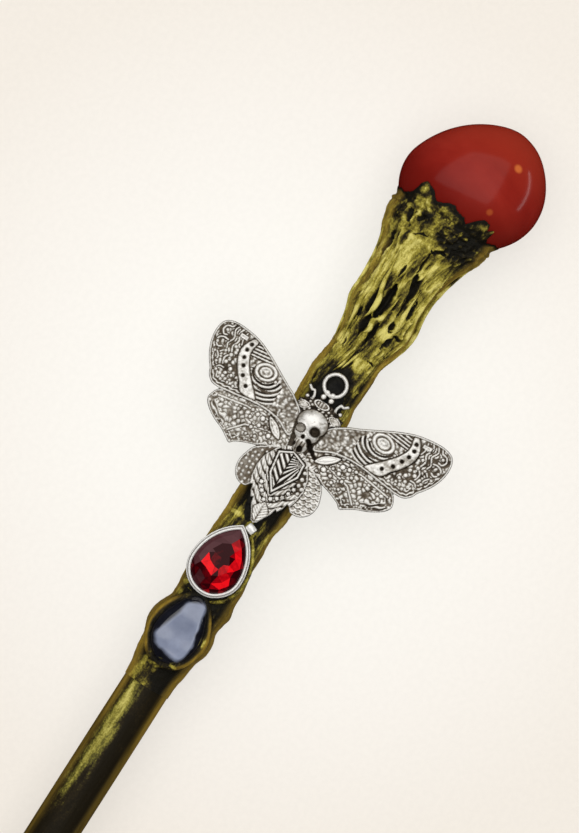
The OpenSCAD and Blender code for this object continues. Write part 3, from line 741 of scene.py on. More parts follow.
def rim_piece():
    cols, rows = 620, 40
    degrees = np.linspace(0, 360, cols, endpoint=False)
    angle = np.radians(degrees)
    x, y = np.cos(angle) * 6, np.sin(angle) * 6
    tall = np.interp(degrees, *np.array(RIM).T)
    tall = tall + 0.28 * fbm(x * 1.7, y * 1.7, 0, 3, 81) + 0.10 * noise(x * 7, y * 7, 0, 82)
    base = CUP_END - RIM_ROOT
    tall = tall + RIM_ROOT
    up = np.linspace(0, 1, rows)[:, None]
    a = angle[None] * np.ones((rows, 1))
    s = base + tall[None] * up
    ct, ch, bark_gild, edge_glow = handle_surface(np.minimum(s, CUP_END + 0.4), a)
    x, y = x[None], y[None]
    rough = 0.30 * fbm(x * 1.3, y * 1.3, s * 1.2, 3, 24) + 0.16 * fbm(x * 3, y * 3, s * 2.4, 2, 83)
    flank = smooth(0.78, 0.98, np.abs(np.cos(a)))
    thick = 0.72 * (1 - (0.55 + 0.33 * flank) * up ** (3 - 1.4 * flank))
    thick = thick + rough * (1 - 0.6 * up) * (1 - 0.75 * flank)
    ot, oh = stone_skin(s, a)
    centre = STONE_OFF + STONE_LEAN * (s - STONE_S)
    r = np.hypot(ot - centre, oh)
    outer = place(s, centre + (ot - centre) * (1 + thick / r), oh * (1 + thick / r))
    # Low down it lies just under the cup's bark, and comes through it unevenly.
    wall = np.hypot(ct, ch)
    under = 1 - (0.55 - 0.75 * smooth(0.0, 2.2, s - base + 0.5 * rough)) / wall
    blend = smooth(1.4, 2.9, s - base)[..., None]
    outer = place(s, ct * under, ch * under) * (1 - blend) + outer * blend
    lip_s = base + tall[None]
    lip_t, lip_h = stone_skin(lip_s, angle[None], 0.06)
    lip = place(lip_s + 0.02, lip_t, lip_h)
    low_t, low_h = stone_skin(np.full((1, cols), base), angle[None], -0.25)
    inner = place(np.full((1, cols), base), low_t, low_h)
    points = np.concatenate([outer, lip, inner])
    front = ch > 0
    gild_here = patches(ct, s, GILDED) * front
    black_here = patches(ot, s, BLACKENED) * front
    edge = smooth(0.80, 0.97, up)
    gild_and_shade = 0.36 + 1.1 * rough + 0.35 * gild_here - 0.42 * black_here - 0.40 * edge
    low_gild = 1 - smooth(1.6, 3.0, s - base)
    gild_and_shade = gild_and_shade * (1 - low_gild) + bark_gild * low_gild
    gild_and_shade = np.concatenate([np.clip(gild_and_shade, 0, 1), np.zeros((2, cols))])
    # The painted golden-brown glow of the flanks fades towards the rim's top.
    edge_glow = np.concatenate([edge_glow * (1 - edge), np.zeros((2, cols))])
    return ring_of_rings("cup_rim_ragged", points, {"gild_and_shade": gild_and_shade, "edge_glow": edge_glow})


rim = rim_piece()
adopt(rim, "rim_clay", "cup_rim")

# ---- the moth charm --------------------------------------------------------------------------------------

# The charm's own frame: u across to the +t side, v towards the head, both from the middle of the body.
MOTH_S = 70.0
MOTH_TURN = 0.021
MOTH_BACK = 6.45
# The cast wings aren't quite alike: one is a little longer.
RIGHT_STRETCH, LEFT_STRETCH = 0.967, 1.042

FOREWING = curve([(2.7, 7.4), (5.6, 9.9), (8.2, 11.2), (11.6, 13.0), (14.3, 14.4), (17.2, 15.6), (20, 16.2),
                  (22.8, 16.4), (24.8, 16.0), (25.9, 15.0), (26.3, 13.2), (26.1, 11.2), (25.4, 9.2),
                  (24.4, 7.5), (23.4, 6.2), (22.8, 5.0), (21.6, 4.0), (19.9, 3.8), (18, 4.0), (15.5, 4.3),
                  (12.5, 4.7), (9.5, 4.8), (6.2, 4.3), (2.6, 2.9)], 5, closed=True)
HINDWING = curve([(3, 3.6), (10, 5.2), (17, 4.8), (19.6, 3.6), (20.5, 2.2), (20.6, 1.0), (19.6, -0.3),
                  (17.4, -1.7), (15.2, -2.6), (13.5, -3.6), (12.4, -4.2), (11.4, -3.4), (9.3, -2.5),
                  (7.5, -1.9), (6, -1.1), (3.6, -0.4), (2, 1)], 5, closed=True)
LOBE = curve([(3.4, 0), (5.6, -1), (7.6, -2.3), (8.5, -4.2), (8.9, -6), (8.5, -7.9), (7.4, -9.2),
              (5.9, -9.7), (4.6, -9.2), (3.2, -6)], 5, closed=True)
ABDOMEN_HALF = [(0, 2), (2.2, 1.2), (3.6, -0.4), (4.9, -2.6), (5.3, -5.0), (5.0, -7.2), (4.5, -8.9),
                (3.9, -8.6), (3.6, -9.8), (2.9, -10.9), (2.5, -10.6), (2.2, -11.9), (1.4, -13.2),
                (0.7, -14.6), (0, -15)]
COLLAR_HALF = [(0, 11.9), (1.5, 11.9), (2.4, 11.4), (3.4, 10.8), (4.9, 10.4), (4.7, 9.3), (3.4, 8.4),
               (2.4, 6), (0, 4)]


def both(half):
    """A whole outline from its right half."""
    return np.array(half + [(-x, y) for x, y in half[-2:0:-1]], float)


ABDOMEN, COLLAR = both(ABDOMEN_HALF), both(COLLAR_HALF)
BAND = curve([(18.6, 15.3), (19.7, 13.4), (19.9, 11.9), (19.5, 10.4), (18.5, 8.7), (17.0, 6.9), (15.6, 5.2),
              (12.4, 5.2), (13.0, 6.3), (14.5, 7.8), (16.4, 9.9), (17.6, 11.9), (17.8, 13.4),
              (17.5, 15.1)], 4, closed=True)
BAND_HOLES = [(18.5, 14.1), (18.8, 12.8), (18.5, 11.3), (17.8, 9.9), (16.9, 8.2), (15.3, 6.7)]
# The middle of the eye.
RING = (13.2, 11.0)
# Round dots on both sides: (u, v, radius).
DOTS = [(10.6, 10.3, 0.32), (16.1, 10.1, 0.28), (15.7, 9.0, 0.25), (19.7, 8.0, 0.42), (20.2, 6.9, 0.36),
        (21.2, 8.8, 0.4), (18.9, 7.0, 0.34), (17.5, 5.4, 0.32), (18.9, 5.5, 0.3), (20.4, 5.4, 0.32),
        (22.2, 6.6, 0.3), (23.0, 8.0, 0.3), (24.3, 9.6, 0.28), (24.8, 11.4, 0.3), (24.2, 14.2, 0.34),
        (22.4, 10.6, 0.3), (21.0, 10.4, 0.38), (21.0, 12.2, 0.36)]
BODY_DOTS = [(3.3, -0.6, 0.36), (3.7, -1.7, 0.38), (3.9, -3.0, 0.40), (3.9, -4.3, 0.38), (4.5, -1.2, 0.30),
             (4.8, -2.3, 0.40), (4.85, -3.5, 0.40), (4.75, -4.7, 0.38), (4.5, -5.8, 0.32)]
HIND_DOTS = [(9.0, 3.1, 0.5), (10.3, 3.3, 0.4), (9.0, 1.6, 0.42), (6.2, 0.8, 0.5), (7.8, 0.4, 0.36),
             (7.6, 1.9, 0.3), (11.6, 3.6, 0.34), (11.4, 2.2, 0.34), (10.2, 0.6, 0.36), (8.6, -0.6, 0.34),
             (10.4, -1.0, 0.3), (5.2, -0.1, 0.3)]
# Raised lines on the forewing: points and half width. The last has none, so it is only a groove.
WAVES = [
    [curve([(21.2, 16.0), (21.7, 14.8), (21.1, 13.4), (21.6, 12.0), (21.2, 10.6), (21.9, 9.4),
            (21.6, 8.2)], 5), 0.17],
    [curve([(22.2, 16.1), (22.8, 14.9), (22.2, 13.5), (22.8, 12.1), (22.5, 11.0), (23.3, 9.9)], 5), 0.15],
    [curve([(23.2, 16.1), (23.6, 15.2), (24.6, 14.9), (25.0, 14.0), (24.5, 13.2), (23.8, 13.3)], 5), 0.17],
    [curve([(23.1, 12.6), (24.0, 12.7), (24.9, 12.2), (25.0, 11.3), (24.3, 10.6), (23.6, 10.9)], 5), 0.17],
    [curve([(24.5, 9.9), (23.7, 9.6), (23.1, 8.8), (23.3, 8.0)], 4), 0.15],
    [curve([(20.3, 15.5), (20.5, 14.2), (20.2, 13.0)], 4), 0.13],
    [curve([(21.0, 7.6), (22.0, 7.5), (22.6, 6.6)], 4), 0.14],
    [curve([(9.2, 8.9), (10.4, 8.0), (12.4, 7.6), (13.6, 8.0)], 4), 0.0]]
# The ring that the charm would hang from: its middle, outer and inner radius.
BAIL_V, BAIL_OUT, BAIL_IN = 15.7, 2.58, 1.78
ARM_HALF = 0.28
ANTENNA = curve([(2.75, 11.0), (2.50, 11.9), (2.95, 12.95), (3.5, 12.85), (4.2, 13.35)], 4)
THORAX = curve([(0, 10.0), (2.4, 9.3), (3.3, 7.4), (3.0, 5.2), (2.5, 3.2), (1.6, 0.6), (-1.6, 0.6),
                (-2.5, 3.2), (-3.0, 5.2), (-3.3, 7.4), (-2.4, 9.3)], 3, closed=True)
# Flowers of five petals under the shield: (u, v, radius).
ROSETTES = [(-2.6, -7.3, 0.44), (-1.7, -8.7, 0.44), (-0.5, -10.0, 0.42), (0.6, -9.3, 0.44),
            (1.6, -8.6, 0.42), (2.4, -7.9, 0.44), (3.0, -6.7, 0.42), (3.5, -5.5, 0.40)]
SHIELD = [(-2.9, -0.5), (-0.2, 0.9), (2.9, -0.3), (3.1, -3.2), (0.0, -8.3), (-2.3, -4.9)]
# Small domes beside the head: (u, v), radius, height of the foot, rise, brightness, and where that ends.
BEADS = [((0.85, 12.7), 0.62, 1.0, 0.50, 1.0, (0.36, 0.58, 0.60)),
         ((0.6, 13.75), 0.55, 0.95, 0.45, 1.0, (0.50, 0.60, 0.50)),
         ((3.65, 11.35), 0.44, 0.95, 0.35, 0.85, (0.26, 0.42, 0.42))]
# The spacing of the charm's surface points, and the box in u and v that they fill.
GRID = 0.128
CHARM_U, CHARM_V = (-27.2, 28.4), (-15.8, 19.2)


def hem(distance, width=0.30):
    """A raised border just inside an outline."""
    return smooth(0.02, 0.10, distance) * (1 - smooth(width - 0.06, width + 0.06, distance))


def studs(a, b, dots, gap=0.13):
    """Round studs: how high each point is on one, and which points lie on a stud or the moat round it."""
    d = np.full(a.shape, -9.0)
    for u, v, r in dots:
        d = np.maximum(d, r - np.hypot(a - u, b - v))
    return smooth(-0.04, 0.10, d), d > -gap


def forewing_relief(a, b, fore):
    """Raised work on a forewing, 0 to 1, how pale its ground is, and where the band and its holes are."""
    # A hammered root.
    wave = 0.30 * noise(a * 0.8, b * 0.8, 0, 13)
    chip, _ = cells(a * 1.20 + wave, b * 1.35 - wave, 14, 0.95)
    tex = (0.76 + 0.4 * noise(a * 0.7, b * 0.7, 0, 18)) * (1 - smooth(0.20, 0.62, chip))
    ground = np.full(a.shape, 0.34)
    # Arcs hanging under the eye.
    from_a, from_b = a - RING[0], b - RING[1]
    ru = np.hypot(from_a / 1.15, from_b)
    swing = from_b / np.maximum(np.hypot(from_a, from_b), 0.01)
    arcs = stripes(ru - 2.0, 0.78)
    zone = smooth(2.0, 2.2, ru) * (1 - smooth(5.9, 6.2, ru)) * (1 - smooth(-0.30, 0.0, swing))
    zone = zone * smooth(8.4, 9.4, a) > 0.5
    tex = np.where(zone, smooth(0.25, 0.70, arcs), tex)
    ground = np.where(zone, 0.10, ground)
    # Bars between the eye and the band.
    bars = stripes(b + 0.12 * a - 15.9, 0.64)
    zone = (a - 0.5 * (b - 13) > 13) & (a < 17.7) & (b + 0.05 * (a - 15) > 12.3)
    tex = np.where(zone, smooth(0.30, 0.70, bars), tex)
    ground = np.where(zone, 0.15, ground)
    # Outside the band: pebbles, a few long waves and curls, and lines that follow the margin.
    far = inside_distance(a, b, BAND)
    outside = a + 0.9 * np.clip(10.5 - b, 0, 9) > 19.6
    pebble, _ = cells(a * 1.15 + wave, b * 1.05 + wave, 15, 0.95)
    pebbles = (0.90 + 0.3 * noise(a * 0.8, b * 0.8, 0, 16)) * (1 - smooth(0.20, 0.52, pebble))
    tex = np.where(outside, pebbles, tex)
    ground = np.where(outside, 0.24, ground)
    ripple = fore + 0.10 * np.sin(4.4 * (a + 0.6 * b))
    lines = stripes(ripple - 0.15, 0.66)
    zone = (fore < 1.55) & outside & (b < 12.5)
    tex = np.where(zone, 0.95 * smooth(0.35, 0.8, lines), tex)
    for line, half in WAVES:
        d = half - line_distance(a, b, line)
        tex = np.where(d > -0.22, smooth(-0.05, 0.08, d), tex)
        ground = np.where(d > -0.22, 0.22, ground)
    plate = 0.9 - np.maximum(np.abs(a - 20.6), np.abs(b - 14.6) * 2.2)
    tex = np.where(plate > -0.2, smooth(0.0, 0.1, plate) * (1 - 0.4 * smooth(0.3, 0.5, plate)), tex)
    rise, on = studs(a, b, DOTS)
    tex, ground = np.where(on, rise, tex), np.where(on, 0.25, ground)
    # The eye: a ring round a disc.
    e = np.hypot(from_a / 1.32, from_b + 0.08 * from_a)
    eye = smooth(1.20, 1.32, e) * (1 - smooth(1.68, 1.78, e)) + 0.8 * (1 - smooth(0.92, 1.06, e))
    eye = eye - 0.35 * (smooth(0.25, 0.40, e) * (1 - smooth(0.55, 0.72, e)))
    tex = np.where(e < 1.92, np.clip(eye, 0, 1), tex)
    ground = np.where(e < 1.92, 0.30, ground)
    # The smooth band with its holes.
    band = smooth(-0.02, 0.12, far)
    brushed = 0.70 + 0.16 * smooth(-0.2, 0.5, noise(a * 0.6, b * 0.6, 0, 12))
    tex = np.maximum(tex * (1 - smooth(-0.26, -0.12, far)), band * brushed)
    ground = np.where(far > -0.24, 0.12, ground)
    hole = np.zeros(a.shape)
    for u, v in BAND_HOLES:
        hole = np.maximum(hole, 1 - smooth(0.26, 0.46, np.hypot(a - u, b - v)))
    tex = tex * (1 - hole)
    ground = ground * (1 - 0.5 * hole)
    # The raised edge, and a groove inside it.
    tex = np.maximum(tex * (1 - 0.8 * hem(fore - 0.34, 0.20)), hem(fore, 0.36))
    return tex, ground, band * (1 - hole), hole


LEAF = curve([(8.0, 4.3), (7.4, 3.0), (5.8, 1.6), (4.0, 1.2), (4.6, 2.6), (6.0, 3.7)], 4, closed=True)
VEINS = [[(7.5, 3.4), (13, 3.6), (19, 2.6)], [(7, 1.6), (11.5, 0.4), (14, -2.2)]]


def hindwing_relief(a, b, hind):
    """Raised work on a hindwing, 0 to 1, and how pale its ground is."""
    near, second = cells(a * 1.02 + 0.4 * noise(a, b, 0, 3), b * 1.22 + 0.3 * noise(a, b, 0, 4), 7, 0.95)
    tex = smooth(0.08, 0.34, second - near) * (1 - 0.5 * smooth(0.30, 0.6, near))
    tex = tex * (0.95 + 0.30 * noise(a * 0.6, b * 0.6, 0, 5))
    ground = np.full(a.shape, 0.25)
    ripple = hind + 0.13 * np.sin(3.4 * (a - 0.4 * b))
    lines = stripes(ripple - 0.2, 0.72)
    # Lines follow the margin, broken by patches of pebbles.
    zone = (hind < 1.75) & (a > 8.5) & (b < 2.6) & (noise(a * 0.7, b * 0.7, 0, 35) > -0.12)
    tex = np.where(zone, 0.95 * smooth(0.30, 0.8, lines), tex)
    ground = np.where(zone, 0.18, ground)
    grain, _ = cells(a * 1.8, b * 1.8, 8)
    zone = (hind < 0.95) & (b < -0.8)
    tex = np.where(zone, 0.9 * (1 - smooth(0.16, 0.48, grain)), tex)
    vein = np.minimum.reduce([line_distance(a, b, line) for line in VEINS])
    tex = np.where(vein < 0.34, 1 - smooth(0.10, 0.22, vein), tex)
    rise, on = studs(a, b, HIND_DOTS, 0.16)
    tex, ground = np.where(on, rise, tex), np.where(on, 0.14, ground)
    leaf = inside_distance(a, b, LEAF)
    tex = np.where(leaf > -0.20, smooth(0.0, 0.14, leaf) * (1 - 0.4 * bump(leaf, 0.42, 0.12)), tex)
    ground = np.where(leaf > -0.20, 0.08, ground)
    return np.maximum(tex, 0.80 * hem(hind)), ground


def belly_relief(u, b, belly):
    """The abdomen: a shield of chevrons and a fan, rows of beads, feathered flanks and a leaf-shaped tip."""
    a = np.abs(u)
    # Feathers all over to begin with, pointing outwards and down.
    deep = scales((a * 0.75 - (b + 6) * 0.35) / 1.05 + 0.2, (-b * 0.80 + a * 0.62) / 1.12)
    barbs = stripes(a * 0.8 - b * 0.25, 0.5)
    tex = smooth(0.10, 0.22, deep) * (0.55 + 0.45 * barbs * smooth(0.2, 0.3, deep))
    ground = np.full(a.shape, 0.04)
    # Beads down the right side.
    rise, on = studs(a, b, BODY_DOTS)
    on = on | ((u > 3.2) & (b > -6.2) & (b < -0.2))
    tex, ground = np.where(on & (u > 0), rise, tex), np.where(on & (u > 0), 0.16, ground)
    # The shield.
    shield = inside_distance(u, b, SHIELD)
    chevron = smooth(0.28, 0.60, stripes(b + 0.95 * u + 0.2, 1.34))
    spread = np.arctan2(b + 0.1, u - 2.9) + np.pi * 2 * (b + 0.1 > 0)
    fan = smooth(0.35, 0.75, stripes(spread, 0.185))
    inner = np.where(u < 0, chevron, fan) * smooth(0.06, 0.16, a)
    border = smooth(-0.02, 0.08, shield) * (1 - smooth(0.34, 0.44, shield))
    tex = np.where(shield > -0.28, np.maximum(inner * (shield > 0.55), border), tex)
    ground = np.where(shield > -0.28, 0.0, ground)
    # A row of rosettes under it, then the leaf with its midrib.
    rise = np.full(a.shape, -9.0)
    for cu, cv, r in ROSETTES:
        spin = np.arctan2(b - cv, u - cu)
        rise = np.maximum(rise, r * (1 + 0.16 * np.cos(5 * spin)) - np.hypot(u - cu, b - cv))
    tex = np.where(rise > -0.14, smooth(-0.03, 0.10, rise), tex)
    ground = np.where(rise > -0.14, 0.0, ground)
    off, down = np.abs(u - 0.1), b + 12.1
    tip = 1.9 - (off ** 1.25 + np.abs(down) ** 1.15 * np.where(down > 0, 1.0, 0.62))
    tip = tip + 0.12 * noise(u * 1.6, b * 1.6, 0, 31)
    veins = stripes(b - 0.8 * off, 0.62)
    leaf = smooth(0.0, 0.14, tip) * (0.55 + 0.45 * smooth(0.3, 0.7, veins))
    leaf = leaf * (0.4 + 0.6 * smooth(0.05, 0.16, off))
    tex = np.where(tip > -0.16, leaf, tex)
    ground = np.where(tip > -0.16, 0.08, ground)
    return np.maximum(tex, 0.85 * hem(belly, 0.26)), ground


def moth_relief(a, b, u):
    """Height of the charm's face above its back and how worn bright it is, where a is |u| and b is v."""
    fore = inside_distance(a, b, FOREWING)
    hind = inside_distance(a, b, HINDWING)
    lobe = inside_distance(a, b, LOBE)
    belly = inside_distance(a, b, ABDOMEN)
    collar = inside_distance(a, b, COLLAR)
    thorax = inside_distance(u, b, THORAX)
    bail_r = np.hypot(u, b - BAIL_V)
    ring = np.minimum(BAIL_OUT - bail_r, bail_r - BAIL_IN)

    def tone(tex, ground):
        """Bright on the raised work, and as pale as its ground between."""
        return ground + (1 - ground) * np.clip(tex, 0, 1)

    layers = []
    tex, ground = hindwing_relief(a, b, hind)
    # The left one is more worn, so its ground is paler.
    worn = np.where(u < 0, 1.0, 0.25)
    layers.append((hind, 0.90 + 0.40 * tex, tone(tex * (1 - 0.10 * worn), ground + 0.12 * worn)))
    # The left lobe is pricked with dots on a dark ground, the right one scaled.
    deep = scales((a - 3) / 1.05, (-b + 0.15 * a) / 0.95)
    tex = smooth(0.10, 0.26, deep) * (1 - 0.55 * smooth(0.25, 0.55, deep))
    dots, _ = cells(a * 0.95, b * 0.95 + 0.4, 17, 0.35)
    tex = np.where(u < 0, 0.85 * (1 - smooth(0.16, 0.34, dots)), tex)
    tex = np.maximum(tex, hem(lobe))
    layers.append((lobe, 0.92 + 0.30 * tex, tone(tex, np.where(u < 0, 0.36, 0.18))))
    tex, ground, band, hole = forewing_relief(a, b, fore)
    layers.append((fore, 1.26 + 0.42 * tex + 0.12 * band - 0.15 * hole, tone(tex, ground)))
    tex, ground = belly_relief(u, b, belly)
    dome = np.clip(1 - (a / 5.4) ** 2, 0, 1) * 0.9
    layers.append((belly, 1.2 + dome + 0.36 * tex, tone(tex, ground)))
    # Rows of small plates on the shoulders and the head.
    plates, _ = cells(u * 1.35 + 0.3, b * 1.5, 9, 0.9)
    tex = 0.80 * (1 - smooth(0.20, 0.50, plates)) * smooth(0.10, 0.30, collar)
    # A leaf on each shoulder, and a pierced plate on the head.
    out, up = a - 3.5, b - 9.6
    leaf = 1 - np.abs((out - 0.35 * up) / 1.55) ** 1.5 - np.abs((up + 0.25 * out) / 0.86) ** 1.5
    head = 1 - np.hypot((u + 0.3) / 1.75, (b - 11.15) / 0.84)
    for plate in (leaf, head):
        on = plate > -0.12
        edge_on = smooth(0.0, 0.10, plate) * (1 - smooth(0.24, 0.34, plate))
        tex = np.where(on, np.maximum(edge_on, 0.62 * smooth(0.3, 0.5, plate)), tex)
    spokes = stripes(u + 0.2, 0.62)
    tex = np.where(head > 0.26, tex * (1 - 0.7 * smooth(0.5, 0.9, spokes)), tex)
    layers.append((collar, 1.75 + 0.38 * tex, tone(tex, 0.05)))
    layers.append((thorax, 1.9 + 0.15 * smooth(0, 0.5, thorax), np.full(a.shape, 0.16)))
    round_bar = dome_height(bail_r - (BAIL_OUT + BAIL_IN) / 2, 0.44)
    layers.append((ring, 0.75 + 0.48 * round_bar, np.full(a.shape, 1.0)))

    height = np.full(a.shape, 0.55)
    shine_and_shade = np.full(a.shape, 0.3)
    for on, layer_h, layer_shine in layers:
        layer_h = layer_h * smooth(-0.03, 0.16, on)
        over = (on > 0) & (layer_h > height)
        height = np.where(over, layer_h, height)
        shine_and_shade = np.where(over, layer_shine, shine_and_shade)
    # Dark creases where one part overlaps another.
    crease = (1 - smooth(0.0, 0.20, np.abs(fore))) * (hind > 0.3) * (fore < 0.02)
    crease = np.maximum(crease, (1 - smooth(0.0, 0.22, np.abs(belly))) * (lobe > 0.2) * (belly < 0.02))
    return height, np.clip(shine_and_shade * (1 - 0.9 * crease), 0, 1)


# The skull's sockets and gaps: middle (u, v), half sizes, depth, and how dark each is.
SKULL_HOLES = [(-1.6, 5.4, 1.08, 0.92, 0.6, 0.38), (1.25, 6.0, 1.25, 1.12, 1.5, 0.86),
               (-0.3, 4.15, 0.46, 0.50, 0.8, 0.92), (-2.0, 3.2, 0.7, 0.6, 0.4, 0.75),
               (0.30, 1.75, 0.62, 0.80, 0.7, 0.96), (-1.15, 2.2, 0.34, 0.62, 0.4, 0.80)]


def skull_relief(u, v):
    """Height of the skull on the thorax, its brightness with painted shade round its edge, and how far
    inside it. It is nobody's.
    """
    dome = np.hypot(u / 3.1, (v - 7.3) / 2.55)
    face = np.hypot(u / 2.55, (v - 5.2) / 2.1)
    jaw = np.hypot((u - 0.1) / 1.55, (v - 2.9) / 2.15)
    on = np.maximum.reduce([1 - dome, 1 - face, 1 - jaw])

    def swell(q, base, tall):
        return (base + tall * dome_height(q, 1)) * (q < 1)

    h = np.maximum.reduce([swell(dome, 2.2, 1.65), swell(face, 2.15, 1.25), swell(jaw, 2.1, 1.05)])
    # Painted shade darkens the edge of the dome and of the face.
    shine_and_shade = 0.87 - 0.24 * smooth(0.66, 1.0, np.where(v > 6, dome, face)) * (v > 3.6)
    shine_and_shade = shine_and_shade + 0.10 * noise(u * 0.8, v * 0.8, 0, 32)
    shine_and_shade = shine_and_shade - 0.16 * smooth(4.6, 2.2, v)
    for cu, cv, ru, rv, depth, dark in SKULL_HOLES:
        d = np.hypot((u - cu) / ru, (v - cv) / rv)
        h = h - depth * (1 - smooth(0.62, 1.0, d))
        h = h + 0.20 * bump(d, 1.12, 0.2)
        shine_and_shade = shine_and_shade * (1 - dark * (1 - smooth(0.70, 0.96, d)))
    # A dark line round the left socket.
    cu, cv, ru, rv = SKULL_HOLES[0][:4]
    d = np.hypot((u - cu) / ru, (v - cv) / rv)
    shine_and_shade = np.where((d > 0.80) & (d < 1.02) & (u < 0), 0.18, shine_and_shade)
    teeth = (np.abs(u + 0.2) < 1.35) & (v < 3.35) & (v > 1.0)
    gaps = stripes(u + 0.18 * noise(u * 1.3, v * 0.8, 0, 33) - 0.1, 0.66)
    h = np.where(teeth, h - 0.20 * smooth(0.6, 0.95, gaps), h)
    shine_and_shade = np.where(teeth, shine_and_shade * (1 - 0.5 * smooth(0.6, 0.95, gaps)), shine_and_shade)
    return h, np.clip(shine_and_shade, 0, 1), on


def charm_place(u, v):
    """(|u|, v, u) in the drawn charm of a point on the real one, which sits a little askew."""
    drawn_u, drawn_v = u + MOTH_TURN * v, v - MOTH_TURN * u
    stretch = np.where(drawn_u > 0, RIGHT_STRETCH, LEFT_STRETCH)
    stretch = 1 + (stretch - 1) * smooth(2.0, 8.0, np.abs(drawn_u))
    return np.abs(drawn_u) * stretch, drawn_v, drawn_u


def charm_outline(u, v):
    """How far inside the charm's whole outline each point is."""
    a, b, drawn_u = charm_place(u, v)
    parts = [inside_distance(a, b, part) for part in (FOREWING, HINDWING, LOBE, ABDOMEN, COLLAR)]
    parts.append(inside_distance(drawn_u, b, THORAX))
    r = np.hypot(drawn_u, b - BAIL_V)
    parts.append(np.minimum(BAIL_OUT - r, r - BAIL_IN))
    parts.append(ARM_HALF - line_distance(a, b, ANTENNA))
    for (cu, cv), radius, *_ in BEADS:
        parts.append(radius - np.hypot(a - cu, b - cv))
    return np.maximum.reduce(parts)


def charm_surface(u, v):
    """Height and brightness of the whole charm, and how much its wings bow."""
    a, b, drawn_u = charm_place(u, v)
    h, shine_and_shade = moth_relief(a, b, drawn_u)
    for (cu, cv), radius, foot, rise, bright, (full, end, cut) in BEADS:
        r = np.hypot(a - cu, b - cv)
        h = np.where(r < radius, np.maximum(h, foot + rise * dome_height(r, radius)), h)
        shine_and_shade = np.where(r < cut, bright * (1 - smooth(full, end, r)), shine_and_shade)
    arm = line_distance(a, b, ANTENNA)
    h = np.where((arm < ARM_HALF) & (b > 11.4), 1.0 + 0.3 * (1 - (arm / ARM_HALF) ** 2), h)
    shine_and_shade = np.where((arm < 0.26) & (b > 11.2), 1.0, shine_and_shade)
    skull_h, skull_shine_and_shade, skull = skull_relief(drawn_u, b)
    over = (skull > 0.02) & (b > 0.9)
    h = np.where(over, skull_h, h)
    shine_and_shade = np.where(over, skull_shine_and_shade, shine_and_shade)
    # A shadow line round it, and the dark gap beside the jaw.
    shine_and_shade = shine_and_shade * (1 - 0.75 * (1 - smooth(0.0, 0.05, np.abs(skull))) * (b > 2.4))
    gap = line_distance(drawn_u, b, [(1.0, 3.9), (2.2, 2.75), (3.7, 1.7)])
    gap = 1 - smooth(0.26, 0.62, gap + 0.12 * noise(drawn_u * 1.5, b * 1.5, 0, 30))
    shine_and_shade = shine_and_shade * (1 - 0.95 * gap)
    h = h - 0.7 * gap * (h > 2.0)
    # Skin of the casting: faint pitting and soft wear.
    speck = fbm(u * 2.6, v * 2.6, 0, 3, 19)
    h = h + 0.020 * speck
    shine_and_shade = shine_and_shade * (1 + 0.30 * speck + 0.16 * fbm(u * 0.9, v * 0.9, 0, 3, 34))
    shine_and_shade = np.clip(shine_and_shade - 0.12 * smooth(0.1, 0.6, fbm(u * 0.4, v * 0.4, 0, 3, 20)), 0, 1)
    return h, shine_and_shade, 0.35 * (1 - (np.abs(drawn_u) / 15) ** 2)


def moth_piece():
    """The charm's relief over a grid of points, its back, and walls between the two."""
    u, v = np.meshgrid(np.arange(*CHARM_U, GRID), np.arange(*CHARM_V, GRID), indexing="ij")
    inside = charm_outline(u, v)
    # Points just outside move onto the outline, so that its edge is clean.
    e = 0.02
    slope_u = (charm_outline(u + e, v) - charm_outline(u - e, v)) / (2 * e)
    slope_v = (charm_outline(u, v + e) - charm_outline(u, v - e)) / (2 * e)
    slope = np.maximum(np.hypot(slope_u, slope_v), 0.3)
    snap = -1.5 * GRID
    move = np.where((inside < 0) & (inside > snap), -inside / slope, 0)
    u, v = u + slope_u / slope * move, v + slope_v / slope * move
    h, shine_and_shade, bow = charm_surface(u, v)

    corners = np.stack([inside[:-1, :-1], inside[1:, :-1], inside[:-1, 1:], inside[1:, 1:]])
    index = np.arange(u.size).reshape(u.shape)
    quads = np.stack([index[:-1, :-1], index[1:, :-1], index[1:, 1:], index[:-1, 1:]], -1)
    quads = quads[(corners.min(0) > snap) & (corners.max(0) > 0)]
    used = np.unique(quads)
    n = len(used)
    new_index = np.full(u.size, -1)
    new_index[used] = np.arange(n)
    quads = new_index[quads]
    u, v, h, shine_and_shade, bow, inside = (q.ravel()[used] for q in (u, v, h, shine_and_shade, bow, inside))
    h = np.where(inside <= 0.03, 0.80 * h, h)
    top = place(MOTH_S + v, u, MOTH_BACK + bow + h)
    # The back: the same outline, thinner at the rim, hollowed as a casting is.
    bottom = place(MOTH_S + v, u, MOTH_BACK + bow - 0.10 + 0.35 * smooth(0.4, 1.1, inside))
    # Walls along the edges that only one quad has.
    edges = np.concatenate([quads[:, [0, 1]], quads[:, [1, 2]], quads[:, [2, 3]], quads[:, [3, 0]]])
    pairs = np.sort(edges, 1)
    _, first, count = np.unique(pairs[:, 0] * (n + 1) + pairs[:, 1], return_index=True, return_counts=True)
    rim_edges = edges[first[count == 1]]
    walls = np.stack([rim_edges[:, 1], rim_edges[:, 0], rim_edges[:, 0] + n, rim_edges[:, 1] + n], -1)
    back_shine = np.clip(0.55 + 0.25 * fbm(u * 0.8, v * 0.8, 0, 3, 29), 0, 1)
    faces = np.vstack([quads, quads[:, ::-1] + n, walls])
    return make_object("moth_charm_cast", np.vstack([top, bottom]), faces,
                       {"shine_and_shade": np.concatenate([shine_and_shade, back_shine])})


moth = moth_piece()
adopt(moth, "antique_silver", "moth_charm")

# ---- black glue round the charm's head and ring ----------------------------------------------------------

